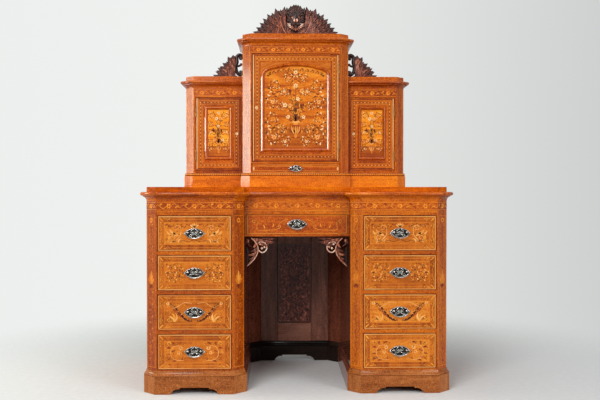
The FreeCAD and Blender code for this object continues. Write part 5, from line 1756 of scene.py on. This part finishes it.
# %% Leaves beside and below the mask
for side in (-1, 1):
    for root, tip, width in (((37, 62), (37, 114), 19), ((26, 78), (21, 121), 15)):
        crest_leaf(side, root, tip, width, 53.0, 0.05, lift=4.0, lobes=3, rub=-0.15)
    crest_leaf(side, (44, 6), (66, 84), 13, 44.0, 0.14, lift=3.4, rub=0.05)
    crest_leaf(side, (50, 8), (112, 52), 15, 45.0, 0.10, lift=4.0, rub=0.10)
    crest_leaf(side, (52, 8), (92, 74), 13, 45.0, 0.08, lift=4.0, rub=0.12)
    rising = [(side * x, z) for x, z in ((40, 3), (48, 14), (60, 40), (66, 62), (60, 74))]
    carved_scroll(crest, rising, 43.0, 2.4, 1.6, 0.75)
    carved_scroll(crest, [(side * x, 3.6) for x in (0, 60, 120, 168)], 54.0, 3.4, 2.4, 0.3)
    for root, tip, width in (((18, 40), (66, 7), 30), ((10, 30), (46, 5), 30), ((2, 9), (62, 9), 18)):
        crest_leaf(side, root, tip, width, 50.0, 0.04, lift=4.0, rub=0.05)
place_in_metres(crest, (0, 0, CREST_BASE * MM))
print("centre crest leaves:", len(crest.faces), "faces")

# %% Bosses of the mask
MASK_MIDDLE = 65.0
bosses = {"skull": (0, 58, 0, 43, 24, 59), "muzzle": (0, 42, -14, 17, 11.5, 15),
          "nose": (0, 35.5, -9, 10.5, 5.5, 7.5), "bridge": (0, 44, 4, 8, 9, 20),
          "nostril": (7.2, 33.2, -11, 4.6, 4.2, 5.6), "brow": (15, 39, 10, 9, 5.5, 4.4),
          "eye": (15, 40.5, 3, 4.8, 4.2, 3.8), "lip": (11, 40, -25, 11, 8, 7), "chin": (0, 43, -37, 9, 8, 8)}
roughed_out = new_block()
for x, y, z, half_x, half_y, half_z in bosses.values():
    for side in (-1, 1) if x else (1,):
        carved_ball(roughed_out, (side * x, y, MASK_MIDDLE + z), (half_x, half_y, half_z), 0.0, 20)
boss_mesh = bpy.data.meshes.new("mask_bosses")
roughed_out.to_mesh(boss_mesh)
roughed_out.free()
boss_object = put("mask_bosses", boss_mesh)
joiner = boss_object.modifiers.new("join_skin", "REMESH")
joiner.mode = "VOXEL"
joiner.voxel_size = 1.3
relax = boss_object.modifiers.new("relax", "SMOOTH")
relax.factor = 0.5
relax.iterations = 3
skin = bpy.data.meshes.new_from_object(boss_object.evaluated_get(bpy.context.evaluated_depsgraph_get()))
head = new_block()
head.from_mesh(skin)
bpy.data.objects.remove(boss_object)
bpy.data.meshes.remove(skin)
bpy.data.meshes.remove(boss_mesh)
print("mask skin:", len(head.faces), "faces")

# %% Fur, eyes and nostrils
NOSE_LEVEL = MASK_MIDDLE - 12.0
FACE_WIDTH = 43
FACE_HEIGHT = 62
FACE_BACK = 60
NOSE_BACK = 38


def oval(spot, x, z, half_x, half_z):
    """1 in the middle of an oval on each side of the face, falling to 0 at its edge."""
    return max(0.0, 1 - ((abs(spot.x) - x) / half_x) ** 2 - ((spot.z - z) / half_z) ** 2)


tone = head.verts.layers.float["tone"]
for vert in head.verts:
    across, up = vert.co.x / FACE_WIDTH, (vert.co.z - NOSE_LEVEL) / FACE_HEIGHT
    reach = math.hypot(across, up)
    turn = math.atan2(up, across)
    eye = oval(vert.co, 15, MASK_MIDDLE + 4, 5, 4.5)
    fur = max(0.0, min(1.0, (reach - 0.34) / 0.12) - 2 * eye) if vert.co.y < FACE_BACK else 0.0
    tuft = (reach * 5.0 + 0.5 * math.sin(9 * turn) + 0.3 * math.sin(23 * turn)) % 1.0
    lock = 0.5 + 0.5 * math.sin(26 * turn + 5 * reach + 2.0 * math.floor(reach * 5.0))
    vert.co.y -= fur * (2.6 * tuft + 2.2 * lock - 2.4)
    # The nostrils and eyes are painted pale as highlights, and the fur is painted dark with highlights on its
    # raised tufts.
    nostril = math.sqrt(oval(vert.co, 5.6, NOSE_LEVEL + 3, 4.8, 9.5)) if vert.co.y < NOSE_BACK else 0.0
    face_tone = 0.18 + 0.85 * nostril + 0.55 * eye
    vert[tone] = face_tone * (1 - fur) + fur * (0.02 + 0.62 * tuft * lock)
smooth_round(head.verts)
print("mask carved")

# %% Mane and whiskers
MANE_LOCKS = 26
MANE_HALF_WIDTH = 43
MANE_HALF_HEIGHT = 61
MANE_TOP = 125.4
rng = random.Random("locks")
for i in range(MANE_LOCKS):
    angle = 2 * math.pi * (i + rng.uniform(0.3, 0.7)) / MANE_LOCKS
    x, z = MANE_HALF_WIDTH * math.cos(angle), MANE_HALF_HEIGHT * math.sin(angle)
    tip = (x, min(MASK_MIDDLE + z, MANE_TOP))
    carved_leaf(head, (0.7 * x, MASK_MIDDLE + 0.7 * z), tip, 12, 52, CREST_BACK,
                bend=rng.uniform(-0.1, 0.1), lift=6.0, lobes=2, rub=-0.35)
# The upper whiskers are painted pale as glints.
whiskers = ((15, -21, 38, -22, 0.60), (14, -26, 36, -31, 0.62), (12, -30, 30, -40, 0.45),
            (9, -34, 23, -47, 0.22), (5, -38, 14, -52, 0.18), (1, -40, 4, -55, 0.14))
for side in (-1, 1):
    for x, z, tip_x, tip_z, rub in whiskers:
        carved_leaf(head, (side * x, MASK_MIDDLE + z), (side * tip_x, MASK_MIDDLE + tip_z), 6.5,
                    37 + 0.2 * x, 50, bend=-0.12 * side, lift=2.5, lobes=2, rub=rub)
place_in_metres(head, (0, 0, CREST_BASE * MM))
print("mask:", len(head.faces), "faces")

# %% [markdown]
# ## Side crests and brackets
# A side crest is a spray of leaves that falls away to the outside, tied to the middle cabinet by a
# C scroll with a curl at each end and a knob between them. A bracket under the kneehole rail has a
# ball in its corner, a loop with berries, and leaves along the rail and down the pedestal. Each
# shape is drawn once; a sign mirrors it to the other side, as a carver turns the pattern over.


# %% Side crests
def side_crest(bm, side):
    """Leaves that fall away from a C scroll."""
    base, inner, front, back = 1248.0, 222.0, 116.0, 132.5
    scroll_depth = 121.0

    def at(out, up):
        return (side * (inner + out), base + up)

    tips = ((129, 9), (118, 23), (109, 39), (97, 46), (88, 60), (72, 66), (65, 87), (54, 83), (43, 94))
    for share, face, width, lift, rub in ((1.0, 121.0, 24, 4.0, -0.05), (0.74, 117.5, 21, 6.0, 0.02),
                                          (0.52, 115.5, 16, 5.0, 0.05)):
        for i, (out, up) in enumerate(tips):
            root = (33, 8 + 6.6 * i)
            tip = (root[0] + share * (out - root[0]), root[1] + share * (up - root[1]))
            carved_leaf(bm, at(*root), at(*tip), width, face, back, bend=-0.10 * side, lift=lift,
                        lobes=4, rub=rub)
    for root, tip in (((56, 8), (124, 4)), ((52, 12), (114, 27)), ((46, 22), (100, 43)),
                      ((40, 34), (78, 60)), ((36, 46), (60, 80))):
        carved_leaf(bm, at(*root), at(*tip), 24, 122.0, back, bend=-0.05 * side, lift=3.5, lobes=3, rub=-0.10)
    for root, tip in (((36, 10), (56, 62)), ((48, 10), (70, 46)), ((60, 8), (92, 34)), ((40, 40), (50, 80))):
        carved_leaf(bm, at(*root), at(*tip), 11, front, back, bend=0.10 * side, lift=5.0, lobes=4, rub=0.22)
    rising = ((31, 50), (25, 64), (29, 84), (20, 94), (10, 95), (4, 88), (5, 79), (12, 76), (16, 83),
              (12, 87))
    falling = ((31, 50), (31, 32), (24, 15), (13, 8), (5.5, 12), (5, 21), (11, 25), (15, 19))
    for line in (rising, falling):
        carved_scroll(bm, [at(*spot) for spot in line], scroll_depth, 8.4, 4.2, 0.10)
    carved_scroll(bm, [at(30, 48), at(18, 46), at(9, 52)], scroll_depth, 5.6, 4.2, 0.12)
    for out, up, size in ((9, 53, 6.2), (11, 84, 4.0), (11, 18, 4.0)):
        x, z = at(out, up)
        carved_ball(bm, (x, 120.0, z), (size, 6.0, size), 0.45)
    carved_scroll(bm, [at(26, 3.4), at(60, 3.4), at(122, 3.4)], 123.0, 3.2, 2.2, 0.3)


side_crests = new_block()
for side in (-1, 1):
    side_crest(side_crests, side)
place_in_metres(side_crests)
print("side crests:", len(side_crests.faces), "faces")

# %% Join the crests
whole = new_block()
for part in (crest, head, side_crests):
    holder = bpy.data.meshes.new("crest_part")
    part.to_mesh(holder)
    part.free()
    whole.from_mesh(holder)
    bpy.data.meshes.remove(holder)
finish_piece(whole, "carved_crests_finished", "desk", [carved], "carved_wood", "carved_crests")


# %% Brackets
def bracket(bm, side):
    """A corner ball, a ring scroll, a long stem, and leaves along the rail and the pedestal."""
    corner, top, front, back = 203.0, 588.0, -204.0, -189.5

    def at(along, down):
        return (side * (corner - along), top - down)

    def ball(along, down, size, depth, wear_and_highlight):
        x, z = at(along, down)
        carved_ball(bm, (x, front, z), (size, depth, size), wear_and_highlight)

    rail_leaves = (((34, 10), (127.5, 6), 19, 4, 0.04, 4.0, 6, -0.05),
                   ((50, 12), (120, 22), 22, 2, 0.08, 5.0, 4, 0.02),
                   ((44, 16), (98, 33), 21, 1, 0.10, 6.0, 4, -0.05),
                   ((30, 9), (82, 16), 17, 0, 0.06, 6.0, 4, 0.1))
    pedestal_leaves = (((8, 44), (6, 117), 13, 4, -0.06, 4.0, 7, -0.3),
                       ((44, 24), (30, 46), 12, 0, -0.14, 5.0, 3, 0.2),
                       ((50, 42), (20, 58), 13, 1, -0.16, 6.0, 4, 0.0),
                       ((50, 56), (10, 72), 13, 0, -0.16, 6.0, 4, 0.15),
                       ((46, 70), (14, 90), 12, 1, -0.14, 5.0, 4, 0.0),
                       ((36, 86), (9, 108), 10, 1, -0.10, 5.0, 4, 0.1))
    for root, tip, width, face, bend, lift, lobes, rub in rail_leaves + pedestal_leaves:
        carved_leaf(bm, at(*root), at(*tip), width, front + face, back, bend=bend * side, lift=lift,
                    lobes=lobes, rub=rub)
    # The long stem, the loop and the berries are painted pale as highlights.
    long_stem = ((26, 7), (40, 20), (50, 36), (53, 52), (48, 72), (34, 94), (8, 116.5))
    carved_scroll(bm, [at(*spot) for spot in long_stem], front - 1, 2.6, 1.6, 0.92)
    loop = ((51, 28), (58, 21), (74, 22), (86, 34), (86, 52), (73, 64), (60, 62), (55, 54))
    carved_scroll(bm, [at(*spot) for spot in loop], front - 1, 1.8, 2.6, 1.0)
    for along, down, size in ((60, 31, 4.2), (67, 47, 4.8), (77, 42, 4.4)):
        ball(along, down, size, 5.0, 1.0)
    eye = (12, 19)
    curl = [away(eye, turn, radius) for radius, turn in
            ((10, 1.4), (10, 2.6), (9.5, 3.8), (9, 5.0), (7, 6.2), (4, 7.4))]
    carved_scroll(bm, [at(*spot) for spot in [(26, 40), (16, 34)] + curl], front, 2.6, 2.4, 0.35)
    ball(*eye, 7, 5.4, 0.55)


brackets = new_block()
for side in (-1, 1):
    bracket(brackets, side)
place_in_metres(brackets)
finish_piece(brackets, "kneehole_brackets_finished", "desk", [carved], "carved_wood", "kneehole_brackets")

# %% [markdown]
# The ribbon section was only a tool, and goes.

bpy.data.objects.remove(ribbon)
